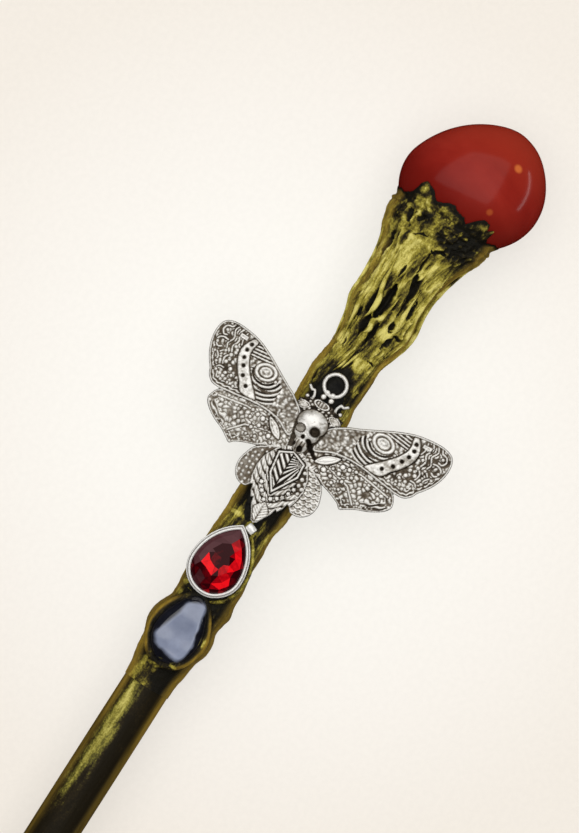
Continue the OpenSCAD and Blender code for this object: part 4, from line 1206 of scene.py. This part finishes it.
def glue_piece():
    """A low, lumpy pad under the charm's body, seen round its head and its ring."""
    rows, cols = 90, 96
    low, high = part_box("moth_glue")
    mid_s = ((low.x + high.x) / 2 - ORIGIN_X) / MM
    half_s = (high.x - low.x) / 2 / MM
    u = np.linspace(0, 1, rows)[:, None] * np.ones((1, cols))
    angle = full_turn(cols)[None] * np.ones((rows, 1))
    width = 4.1 + 0.25 * np.sin(angle) + 0.35 * noise(np.cos(angle) * 2, np.sin(angle) * 2, 0, 91)
    s = mid_s + u * half_s * 0.98 * np.sin(angle)
    t = -0.2 + u * width * np.cos(angle)
    top = 6.05 + 0.55 * (1 - u ** 4) + 0.14 * fbm(s * 0.7, t * 0.9, 0, 3, 92) * (1 - u ** 3)
    top = top - 0.012 * t ** 2
    base = place(s[-1:], t[-1:], 5.2)
    return tube("moth_glue_bead", np.concatenate([place(s[1:], t[1:], top[1:]), base]))


glue = glue_piece()
adopt(glue, "black_glue", "moth_glue")

# ---- the gem in its bezel --------------------------------------------------------------------------------

GEM_S, GEM_T = 43.9, -0.85
# Its half width, and how far its point is from its widest place.
GEM_HALF, GEM_UP = 5.0, 9.0
# Heights of the settings' seat and of the gem's edge.
BED, GIRDLE = 5.15, 8.25
# The middle of the gem, past its widest place.
GEM_MIDDLE = 0.9


def pear(grow, n):
    """A pear outline as (t, s) about the gem's widest point: round end towards -s, point towards +s."""
    arc = (GEM_HALF ** 2 + GEM_UP ** 2) / (2 * GEM_HALF)
    radius, back = arc + grow, arc - GEM_HALF
    turn = math.acos(back / radius) * np.linspace(0, 1, n)
    right = np.stack([radius * np.cos(turn) - back, radius * np.sin(turn)], -1)
    turn = np.pi + np.pi * np.linspace(0, 1, 2 * n - 1)[1:-1]
    low = (GEM_HALF + grow) * np.stack([np.cos(turn), np.sin(turn)], -1)
    return np.vstack([right, right[-2::-1] * [-1, 1], low])


# Offset out from the stone, height and darkness: the wall, a step, a groove, the lip and its inside.
BEZEL = [(-0.55, BED + 0.05, 0.8), (0.60, BED, 0), (0.68, BED + 0.25, 0.5), (0.60, BED + 0.5, 0),
         (0.60, 7.35, 0), (0.64, 7.55, 0), (0.72, 7.72, 0), (0.71, 7.92, 0), (0.62, 8.05, 0.05),
         (0.48, 8.08, 0.45), (0.40, 8.00, 0.85), (0.36, 8.06, 0.6), (0.34, 8.40, 0.1), (0.30, 8.62, 0),
         (0.20, 8.74, 0), (0.06, 8.74, 0), (-0.08, 8.62, 0), (-0.16, 8.42, 0), (-0.14, 8.30, 0.7),
         (-0.10, 8.0, 0.9), (-0.5, 5.6, 1.0)]


def bezel_piece():
    outlines = [(pear(grow, 72), h) for grow, h, _ in BEZEL]
    points = np.stack([place(GEM_S + p[:, 1], GEM_T + p[:, 0], h) for p, h in outlines])
    wobble = 0.03 * MM * noise(points[..., 0] * 400, points[..., 1] * 400, points[..., 2] * 400, 95)
    points = points + wobble[..., None]
    shine_and_shade = np.array([[1 - dark] * points.shape[1] for _, _, dark in BEZEL])
    return ring_of_rings("gem_bezel", points, {"shine_and_shade": shine_and_shade})


bezel = bezel_piece()


def bezel_tube_piece():
    """A short tube with rounded ends, across the bezel's point."""
    sides, wall = 40, 12
    outer, inner, length = 0.85, 0.35, 1.9
    middle = place(53.9, 0.75, 7.35)
    turn = full_turn(sides)[:, None]
    axis = Vector((-0.35, -0.94, 0.0)).normalized()
    side = axis.cross(Vector((0, 0, 1))).normalized()
    around = np.cos(turn) * np.array(side) + np.sin(turn) * np.array(side.cross(axis))
    rings = []
    for a in full_turn(wall):
        out, along = (np.sign(q) * abs(q) ** 0.5 for q in (np.cos(a), np.sin(a)))
        r = (outer + inner) / 2 + (outer - inner) / 2 * out
        rings.append(middle + MM * (length / 2 * along * np.array(axis) + r * around))
    return ring_of_rings("gem_bezel_tube", np.stack(rings), {"shine_and_shade": np.full((wall, sides), 0.9)})


bezel_tube = bezel_tube_piece()
adopt(bezel, "bezel_silver", "gem_setting")
adopt(bezel_tube, "bezel_silver", "gem_setting")

# Painted sparkle in the red stone: (t, s), reach, strength.
SPARKLE_SPOTS = [(0.2, 50.6, 0.9, 1.0), (0.7, 49.0, 0.9, 1.0), (1.3, 47.6, 0.9, 0.9), (2.5, 46.9, 1.1, 0.9),
        (-2.3, 43.9, 1.0, 1.0), (-1.3, 43.2, 0.8, 0.75), (1.5, 41.8, 1.2, 1.1), (0.6, 43.6, 0.9, 0.8),
        (2.6, 43.2, 0.9, 0.85), (-3.4, 44.6, 0.7, 0.7), (0.9, 45.4, 0.9, 0.7), (0.2, 40.1, 0.8, 0.7),
        (1.9, 45.3, 0.8, 0.65)]


# Rings of facet corners: scale, how many, turn and height as a share of the crown's.
FACETS = [(0.985, 24, 0.0, 0.0), (0.84, 16, 0.5, 0.40), (0.62, 13, 0.0, 0.70), (0.40, 9, 0.4, 1.0),
          (0.18, 5, 0.1, 1.0)]
CROWN = 1.25


def scattered(n, k, seed):
    """n fixed pseudo-random numbers from -1 to 1."""
    return hashed(np.arange(n), np.full(n, k), np.zeros(n), seed)


def gem_piece():
    """A pear-cut stone of flat facets. What its back would throw up is painted facet by facet."""
    outline = pear(0.0, 60)
    closed = np.vstack([outline, outline[:1]])
    length = np.concatenate([[0], np.cumsum(np.hypot(*np.diff(closed, axis=0).T))])
    tip = int(np.argmax(outline[:, 1]))
    loops = []
    for k, (scale, n, turn, rise) in enumerate(FACETS):
        at = (length[tip] + (np.arange(n) + turn) / n * length[-1]) % length[-1]
        x, y = np.interp(at, length, closed[:, 0]), np.interp(at, length, closed[:, 1])
        x, y = x * scale, (y - GEM_MIDDLE) * scale + GEM_MIDDLE
        tall = np.full(n, GIRDLE + CROWN * rise)
        if k > 0:
            tall = tall + 0.05 * scattered(n, k, 133)
        if k > 1:
            x = x + 0.30 * scattered(n, k, 131)
            y = y + 0.38 * scattered(n, k, 132)
        loops.append(np.stack([x, y, tall], -1))
    loops.append(np.array([[0.1, 1.2, GIRDLE + CROWN]]))
    corners, painted_sparkle, painted_reflection = [], [], []

    def facet(p, q, r):
        """One triangle, with how much painted sparkle and how much painted reflection of the room it shows.
        """
        middle = (p + q + r) / 3
        t, s = GEM_T + middle[0], GEM_S + middle[1]
        sparkle = 0
        for ft, fs, reach, power in SPARKLE_SPOTS:
            sparkle += power * math.exp(-((t - ft) ** 2 + (s - fs) ** 2) / (0.8 * reach * reach))
        shuffle = float(hashed(np.array([int(s * 40)]), np.array([int(t * 40)]), np.array([0]), 134)[0])
        sparkle = min(max(1.1 * sparkle + 0.30 * shuffle - 0.06, 0), 1)
        # Painted reflection: the long facets of the left shoulder mirror the room.
        left = line_distance(np.array([t]), np.array([s]), [(-0.9, 52.0), (-3.6, 48.6), (-5.0, 44.6)])[0]
        mirrored_grey = 1.0 if left < 1.30 else (0.45 if math.hypot(t + 2.4, s - 40.6) < 1.1 else 0.0)
        past = middle[1] - GEM_MIDDLE
        edge = math.hypot(middle[0] / 4.9, past / (8.0 if past > 0 else 5.7))
        sparkle *= 0.45 if edge > 0.80 and s > 42.5 else 1.0
        corners.extend([p, q, r])
        painted_sparkle.extend([sparkle * (1 - 0.85 * mirrored_grey)] * 3)
        painted_reflection.extend([mirrored_grey * (0.8 + 0.2 * shuffle)] * 3)

    for outer, inner in zip(loops[:-1], loops[1:]):
        n, m = len(outer), len(inner)
        if m == 1:
            for i in range(n):
                facet(outer[i], outer[(i + 1) % n], inner[0])
            continue
        # Stitch the two loops, always taking the shorter new edge.
        j0 = int(np.argmin(np.hypot(*(inner[:, :2] - outer[0, :2]).T)))
        i = j = 0
        while i < n or j < m:
            o, q = outer[i % n], inner[(j0 + j) % m]
            o2, q2 = outer[(i + 1) % n], inner[(j0 + j + 1) % m]
            if j >= m or (i < n and np.linalg.norm(o2 - q) <= np.linalg.norm(q2 - o)):
                facet(o, o2, q)
                i += 1
            else:
                facet(o, q2, q)
                j += 1
    # A plain back, out of sight in its setting.
    back = np.array([0.0, GEM_MIDDLE, BED + 0.4])
    for a, b in zip(loops[0], np.roll(loops[0], -1, axis=0)):
        low_a, low_b = ((q - back) * [0.9, 0.9, 0] + back for q in (a, b))
        for tri in ((a, low_a, b), (b, low_a, low_b), (low_a, back, low_b)):
            corners.extend(tri)
            painted_sparkle.extend([0.1] * 3)
            painted_reflection.extend([0.0] * 3)
    corners = np.array(corners)
    points = place(GEM_S + corners[:, 1], GEM_T + corners[:, 0], corners[:, 2])
    faces = np.arange(len(points)).reshape(-1, 3)
    middle = place(GEM_S + GEM_MIDDLE, GEM_T, GIRDLE - 0.5)
    side = np.cross(points[faces[:, 1]] - points[faces[:, 0]], points[faces[:, 2]] - points[faces[:, 0]])
    inward = np.einsum("ij,ij->i", side, points[faces].mean(1) - middle) < 0
    faces[inward] = faces[inward][:, ::-1]
    return make_object("gem_pear_cut", points, faces, {"painted_sparkle": painted_sparkle, "painted_reflection": painted_reflection}, smooth_faces=False)


gem = gem_piece()
adopt(gem, "red_glass", "gem")

# ---- the dark stone and the clay that holds it -----------------------------------------------------------

CAB_S, CAB_T = 29.4, -0.35


def egg(half, up, down, n):
    """An egg-shaped outline as (t, s), narrower towards +s."""
    turn = full_turn(n)
    rise = np.sin(turn)
    t = half * np.cos(turn) * np.where(rise > 0, 1 - 0.34 * rise ** 2, 1 - 0.05 * rise ** 2)
    return t, np.where(rise > 0, up, down) * rise


# The stone's flattened top, which also bounds the painted reflection on it.
TABLE = curve([(1.6, 37.0), (-1.6, 35.6), (-2.4, 32.6), (-3.6, 29.0), (-4.0, 26.9), (-2.2, 25.6),
               (0.4, 24.9), (2.5, 24.9), (3.3, 26.2), (3.4, 28.4), (2.9, 31.2),
               (2.2, 34.4)], 6, closed=True)


def cabochon_piece():
    rows, cols = 120, 200
    k = np.linspace(0, 1, rows)[:, None]
    t, s = egg(5.1, 8.6, 6.6, cols)
    # Rounded shoulders fall from the flattened top to the edge.
    x, y = CAB_T + t[None] * k, CAB_S + s[None] * k
    inside = inside_distance(x, y, TABLE, 6.0)
    to_rim = (1 - k) * np.hypot(t, s)[None]
    fall = np.clip(0.55 - inside, 0, None)
    share = np.clip(fall / (fall + to_rim + 1e-6), 0, 1)
    h = BED + 0.3 + 3.75 * (1 - share ** 2.3) ** 0.6
    h = h + 0.030 * (y - CAB_S) - 0.012 * (x - CAB_T) + 0.03 * noise(x * 0.3, y * 0.3, 0, 97) * (1 - share)
    # Painted reflection of the panel on the flattened top, as a blue-grey patch.
    painted_glare = smooth(-0.50 + 0.25 * smooth(0, 2, x), 0.45, inside + 0.22 * noise(x * 0.9, y * 0.9, 0, 98))
    painted_glare = painted_glare * (0.90 + 0.09 * noise(x * 0.35, y * 0.25, 0, 99))
    points = place(y, x, h)
    base = place(CAB_S + s, CAB_T + t, BED)[None]
    painted_glare = np.concatenate([painted_glare[1:], np.zeros((1, cols))])
    return tube("cabochon_polished", np.concatenate([points[1:], base]), {"painted_glare": np.clip(painted_glare, 0, 1)})


cabochon = cabochon_piece()
adopt(cabochon, "dark_stone", "cabochon")


def collar_piece():
    """The roll of clay pressed round the dark stone, thumbed unevenly."""
    cols, rows = 260, 26
    turn = full_turn(rows)[:, None]
    t, s = egg(5.0, 8.2, 6.4, cols)
    length = np.hypot(t, s)
    ut, us = t / length, s / length
    fat = 0.78 + 0.16 * noise(ut * 1.8, us * 1.8, 0, 101)
    off = 0.26 + 0.08 * noise(ut * 2.6, us * 2.6, 0, 99) + fat * np.cos(turn)
    rise = 6.45 + 0.15 * noise(ut * 1.5, us * 1.5, 0, 100)
    h = rise + (0.85 + 0.2 * (fat - 0.6)) * np.sin(turn)
    x = CAB_T + t + ut * off
    y = CAB_S + s + us * off
    grit = 0.07 * fbm(x * 1.6, y * 1.6, h, 3, 103)
    points = place(y, x + ut * grit, h + grit)
    gild_and_shade = 0.10 + 0.06 * np.sin(turn) + 0.20 * fbm(x * 0.7, y * 0.7, h * 0.7, 3, 104)
    gild_and_shade = np.clip(gild_and_shade + 0.50 * patches(x, y, GILDED), 0, 1)
    # Painted golden-brown glow on the outer flanks of the roll.
    edge_glow = smooth(0.0, 0.7, np.cos(turn)) * smooth(0.35, 0.7, np.abs(ut)) * 0.95
    return ring_of_rings("cabochon_collar_clay", points, {"gild_and_shade": gild_and_shade, "edge_glow": edge_glow})


collar = collar_piece()
adopt(collar, "rim_clay", "cabochon_collar")


def lip_piece():
    """The thin roll of clay along one side of the bezel."""
    route = curve([(-2.6, -6.0), (1.5, -6.4), (4.6, -4.6), (6.1, -1.2), (6.0, 2.4), (4.9, 5.4), (3.2, 8.0),
                   (2.2, 9.2)], 16)
    n, sides = len(route), 16
    turn = full_turn(sides)[None]
    fade = fade_ends(n, 4, 0.15)[:, None]
    along = np.gradient(route, axis=0)
    along /= np.hypot(*along.T)[:, None]
    out_t, out_s = along[:, 1:2], -along[:, :1]
    off = 0.42 * fade * np.cos(turn)
    x = GEM_T + route[:, :1] + out_t * off
    y = GEM_S + route[:, 1:] + out_s * off
    h = 6.1 + 0.75 * fade * np.sin(turn) + 0.10 * fbm(x * 1.2, y * 1.2, 0, 3, 105)
    gild_and_shade = 0.36 + 0.2 * np.sin(turn) + 0.35 * fbm(x * 0.8, y * 0.8, 0, 3, 106)
    gild_and_shade = gild_and_shade + 0.3 * smooth(4, 8, route[:, 1:])
    values = {"gild_and_shade": np.clip(gild_and_shade, 0, 1), "edge_glow": np.zeros((n, sides))}
    return tube("setting_lip_clay", place(y, x, h), values)


lip = lip_piece()
adopt(lip, "bark_clay", "setting_lip")

# ---- the shaft -------------------------------------------------------------------------------------------

def shaft_piece():
    """The dowel, a little rough with its grain."""
    cols = 120
    radius = (shaft_high.y - shaft_low.y) / 2 / MM
    dome = np.radians(np.arange(0, 90, 6))
    # A rounded tip, the length in sight, and a thinner end inside the clay, up to the cup.
    tip, hidden, bare_end, hidden_end = 4, 4.4, 18.6, 113.0
    bare = np.arange(S_OF_TIP + tip, bare_end - 0.1, 0.8)
    s = np.concatenate([S_OF_TIP + tip * (1 - np.cos(dome)), bare, [bare_end, hidden_end]])
    r = np.concatenate([radius * np.sin(dome), np.full(len(bare), radius), [hidden, hidden]])[:, None]
    angle = full_turn(cols)[None]
    s = s[:, None] * np.ones((1, cols))
    x, y = np.cos(angle) * 4.76, np.sin(angle) * 4.76
    wood = 0.035 * ridges(x * 1.1, y * 1.1, s * 0.02, 2, 111)
    wood = wood + 0.05 * noise(x * 0.3, y * 0.3, s * 0.03, 112)
    r = r + wood * smooth(0, 3, r) - 0.04
    t, h = r * np.cos(angle), r * np.sin(angle)
    # The dry-brushed stripe on the front, and fainter ones elsewhere.
    stripe = bump(t, -2.0, 3.5) * (h > 0) * smooth(-18, 0, s)
    stripe = stripe * (0.82 + 0.45 * fbm(x * 0.6, y * 0.6, s * 0.16, 3, 115))
    patch = 0.30 * smooth(0.05, 0.6, fbm(x * 0.35, y * 0.35, s * 0.018, 3, 113)) * (1 - smooth(-14, 4, s))
    gild_and_shade = np.clip(0.06 + 0.80 * stripe + patch + 0.10 * fbm(x * 0.8, y * 0.8, s * 0.12, 3, 114), 0, 1)
    # Painted golden-brown glow on the flanks.
    edge_glow = smooth(0.62, 0.95, np.abs(t) / np.maximum(r, 0.1)) * (0.45 + 0.45 * smooth(-8, 16, s))
    return tube("shaft_painted", place(s, t, h), {"gild_and_shade": gild_and_shade, "edge_glow": edge_glow})


shaft = shaft_piece()
adopt(shaft, "painted_wood", "shaft")

# ---- materials on the pieces -----------------------------------------------------------------------------

bark_look().on(sleeve_low, sleeve, cup, strands, rim, collar, lip)

paint = Look("painted_wood", Metallic=0.15, Specular_IOR_Level=0.22)
streak = paint.noise(800, 5, 0.68, paint.scaled((0.10, 1, 1)))
blotch = paint.noise(420, 4, 0.65, paint.scaled((0.5, 1, 1)))
grain = paint.noise(2600, 3, 0.65)
worn = paint.stirred(paint.attribute("gild_and_shade"), (streak, 0.8), (blotch, 0.8), (grain, 0.7))
coat = paint.ramp(worn, [(0.14, (0.0095, 0.0068, 0.0025)), (0.36, (0.019, 0.013, 0.004)),
                         (0.54, (0.085, 0.075, 0.012)), (0.72, (0.24, 0.21, 0.035)),
                         (1.0, (0.50, 0.45, 0.12))])
# Painted golden-brown glow on the flanks, broken by the streaks.
flank = paint.math("MULTIPLY", paint.attribute("edge_glow"), paint.step(streak, 0.30, 0.62, 0.4, 1.0))
paint.set("Base Color", paint.mix(flank, coat, (0.27, 0.172, 0.017)))
paint.set("Roughness", paint.step(streak, 0.3, 0.7, 0.42, 0.58))
paint.bumpy(streak, 0.00015)
paint.on(shaft)

red = Look("red_stone", Roughness=0.15, IOR=1.5, Specular_IOR_Level=0.22)
cloud = red.math("MULTIPLY", red.noise(55, 4, 0.5, distortion=0.6), 0.8)
milk = red.math("ADD", cloud, red.math("MULTIPLY", red.noise(260, 3, 0.6), 0.2))
body = red.ramp(milk, [(0.30, (0.130, 0.0060, 0.0040)), (0.50, (0.185, 0.0110, 0.0070)),
                       (0.72, (0.240, 0.0180, 0.0110))])
# Painted shade darkens it towards the clay, and painted light makes it lighter and warmer at its end.
along = red.add("ShaderNodeSeparateXYZ")
red.join(red.position, along.inputs["Vector"])
shade_near_clay = red.step(along.outputs["X"], ORIGIN_X + 124 * MM, ORIGIN_X + 136 * MM, 0.72, 0.0)
light_at_end = red.step(along.outputs["X"], ORIGIN_X + 133 * MM, ORIGIN_X + 146 * MM, 0.0, 0.75)
body = red.mix(shade_near_clay, body, (0.090, 0.0040, 0.0026))
body = red.mix(light_at_end, body, (0.275, 0.0260, 0.0125))
# Two pale spots at its surface: (s, t, h), radius, strength and colour.
for spot, radius, strength, colour in [((139.5, 6.9, 8.2), 1.15 * MM, 0.75, (0.50, 0.13, 0.03)),
                                       ((129.4, 6.7, 10.09), 0.9 * MM, 0.45, (0.38, 0.09, 0.02))]:
    fleck = red.step(red.distance(tuple(place(*spot))), 0.35 * radius, radius, 1.0, 0.0)
    body = red.mix(red.math("MULTIPLY", fleck, strength), body, colour)
red.set("Base Color", body)
red.on(stone)


def silver_look(name, metallic, tarnish, stops, roughness, pitting):
    """Silver as clean as its brightness attribute says, painted shade included, stirred by tarnish: (noise
    scale, amount).
    """
    look = Look(name, Metallic=metallic)
    level = look.stirred(look.attribute("shine_and_shade"), (look.noise(tarnish[0], 3, 0.6), tarnish[1]))
    look.set("Base Color", look.ramp(level, stops))
    look.set("Roughness", look.step(level, 0.1, *roughness))
    look.bumpy(look.noise(pitting[0], 2, 0.5), pitting[1])
    return look


silver = silver_look("antique_silver", 0.58, (1500, 0.40),
                     [(0.04, (0.014, 0.009, 0.005)), (0.30, (0.135, 0.105, 0.073)),
                      (0.55, (0.44, 0.41, 0.36)), (0.82, (0.98, 0.965, 0.925))],
                     (0.8, 0.60, 0.37), (3200, 0.00006))
silver.on(moth)
bright = silver_look("bezel_silver", 0.5, (900, 0.30),
                     [(0.0, (0.03, 0.026, 0.022)), (0.5, (0.42, 0.40, 0.375)), (0.9, (0.95, 0.945, 0.925))],
                     (0.9, 0.45, 0.24), (2600, 0.00005))
bright.on(bezel, bezel_tube)

glass = Look("red_glass", Roughness=0.05, IOR=1.55, Specular_IOR_Level=0.18)
# Painted sparkle, facet by facet.
sparkle_level = glass.stirred(glass.attribute("painted_sparkle"), (glass.noise(1400, 2, 0.5), 0.35))
sparkle_colours = glass.ramp(sparkle_level, [(0.10, (0.020, 0.001, 0.002)), (0.32, (0.100, 0.001, 0.003)),
                           (0.55, (0.28, 0.001, 0.004)), (0.85, (0.66, 0.005, 0.009))])
# A painted grey reflection of the room over the sparkle.
glass.set("Base Color", glass.mix(glass.attribute("painted_reflection"), sparkle_colours, (0.072, 0.026, 0.030)))
glass.on(gem)

night = Look("dark_stone", Roughness=0.07, IOR=2.0)
depths = night.ramp(night.noise(220, 3, 0.5), [(0.3, (0.004, 0.004, 0.006)), (0.7, (0.012, 0.013, 0.020))])
# Blue-grey colour of the painted reflection.
glare_colour = night.ramp(night.noise(420, 3, 0.5), [(0.3, (0.165, 0.190, 0.270)), (0.7, (0.215, 0.245, 0.335))])
night.set("Base Color", night.mix(night.attribute("painted_glare"), depths, glare_colour))
night.on(cabochon)


def glue_look(name, low, high, roughness, **shader):
    """Cloudy set glue."""
    look = Look(name, IOR=1.5, **shader)
    look.set("Base Color", look.ramp(look.noise(500, 3, 0.5), [(0.3, low), (0.7, high)]))
    look.set("Roughness", look.step(look.noise(900, 2, 0.5), 0.3, 0.7, *roughness))
    return look


epoxy = glue_look("black_glue", (0.003, 0.003, 0.003), (0.012, 0.011, 0.008), (0.35, 0.6),
                  Specular_IOR_Level=0.18)
epoxy.bumpy(epoxy.noise(1100, 4, 0.6), 0.0003)
epoxy.on(glue, *(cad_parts[name] for name in ("setting_glue", "cabochon_glue")))
clear = glue_look("clear_glue", (0.48, 0.42, 0.30), (0.62, 0.56, 0.44), (0.2, 0.4))
clear.on(*(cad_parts[name] for name in ("pommel_glue", "gem_glue")))

# ---- floor, light and camera ----------------------------------------------------------------------------

AIM = Vector(place(76.0, -4.6, 0.0))
FLOOR_HALF = 4.0
floor_mesh = bpy.data.meshes.new("floor")
corners = [(-FLOOR_HALF, -FLOOR_HALF, 0), (FLOOR_HALF, -FLOOR_HALF, 0), (FLOOR_HALF, FLOOR_HALF, 0),
           (-FLOOR_HALF, FLOOR_HALF, 0)]
floor_mesh.from_pydata(corners, [], [(0, 1, 2, 3)])
floor = bpy.data.objects.new("floor", floor_mesh)
bpy.context.scene.collection.objects.link(floor)
floor.visible_glossy = False

# Painted pool of light: it is palest under the grip, and FALLOFF metres from there it has its last tone.
FALLOFF = 0.12
LIGHT_POOL_TONES = [(0.0, (1.0, 0.995, 0.955)), (0.30, (0.985, 0.962, 0.91)), (0.50, (0.95, 0.91, 0.85)),
         (0.72, (0.905, 0.85, 0.775)), (1.0, (0.885, 0.825, 0.745))]
sweep = Look("pale_floor", Roughness=0.85, Specular_IOR_Level=0.15)
far = sweep.step(sweep.distance(AIM), 0.0, FALLOFF, kind="LINEAR")
weave = sweep.step(sweep.noise(900, 4, 0.6), 0.3, 0.7)
light_pool_threads = [sweep.ramp(far, [(at, tuple(share * c for c in colour)) for at, colour in LIGHT_POOL_TONES])
           for share in (0.235, 0.255)]
sweep.set("Base Color", sweep.mix(weave, *light_pool_threads))
# It glows a little, so that shadows stay faint.
sweep.set("Emission Color", sweep.ramp(far, LIGHT_POOL_TONES))
sweep.set("Emission Strength", 0.67)
sweep.on(floor)


def area_light(name, at, size, radiance, colour=(1, 1, 1), aim=None, along=(1, 0, 0), mirrored=True):
    """A soft box at (along the wand, across it, up) in metres from the middle of the view."""
    data = bpy.data.lights.new(name, "AREA")
    data.shape = "RECTANGLE"
    data.size, data.size_y = size
    data.energy = radiance * math.pi * size[0] * size[1]
    data.color = colour
    lamp = bpy.data.objects.new(name, data)
    here = Vector((AIM.x + at[0], AIM.y - at[1], at[2]))
    if aim is None:
        lamp.location = here
    else:
        long = Vector((along[0], -along[1], along[2])).normalized()
        back = (here - aim).normalized()
        long = (long - long.dot(back) * back).normalized()
        turn = Matrix((long, back.cross(long), back)).transposed().to_4x4()
        lamp.matrix_world = Matrix.Translation(here) @ turn
    lamp.visible_glossy = mirrored
    bpy.context.scene.collection.objects.link(lamp)


# A wide panel overhead and a low strip that the stones mirror, and fill that they don't.
POMMEL = Vector(place(STONE_S, 0, 0))
area_light("panel", (0.70, -0.26, 0.80), (1.65, 1.35), 0.80, (1.0, 0.99, 0.98))
area_light("strip", (0.395, 0.60, 0.11), (0.63, 0.05), 4.5, aim=POMMEL, along=(0.56, -0.21, -0.20))
area_light("fill", (0.0, -0.1, 1.5), (2.0, 2.0), 1.95, (1.0, 0.985, 0.96), mirrored=False)

# The camera sees a backdrop as pale as the floor, and the pieces are lit by a dimmer one.
AMBIENT, BACKDROP = 0.40, 0.82
world = bpy.data.worlds.new("studio")
bpy.context.scene.world = world
world.use_nodes = True
background = world.node_tree.nodes["Background"]
background.inputs["Color"].default_value = (1.0, 0.98, 0.95, 1)
seen = world.node_tree.nodes.new("ShaderNodeLightPath")
strength = world.node_tree.nodes.new("ShaderNodeMath")
strength.operation = "MULTIPLY_ADD"
strength.inputs[1].default_value = BACKDROP - AMBIENT
strength.inputs[2].default_value = AMBIENT
world.node_tree.links.new(seen.outputs["Is Camera Ray"], strength.inputs[0])
world.node_tree.links.new(strength.outputs[0], background.inputs["Strength"])
world.cycles_visibility.glossy = False

# Straight down from VIEW_HEIGHT, with a lens that sees SEEN_HEIGHT from top to bottom.
VIEW_HEIGHT = 1.0
SEEN_HEIGHT = 160.7 * MM
CAMERA_TURN = math.radians(-57.5)
camera_data = bpy.data.cameras.new("camera")
camera_data.sensor_fit = "VERTICAL"
camera_data.sensor_height = 24
camera_data.lens = camera_data.sensor_height * VIEW_HEIGHT / SEEN_HEIGHT
camera_data.clip_start, camera_data.clip_end = 0.01, 20
camera = bpy.data.objects.new("camera", camera_data)
camera.location = AIM + Vector((0, 0, VIEW_HEIGHT))
camera.rotation_euler = (0, 0, CAMERA_TURN)
bpy.context.scene.collection.objects.link(camera)
bpy.context.scene.camera = camera
bpy.context.scene.view_settings.view_transform = "Standard"
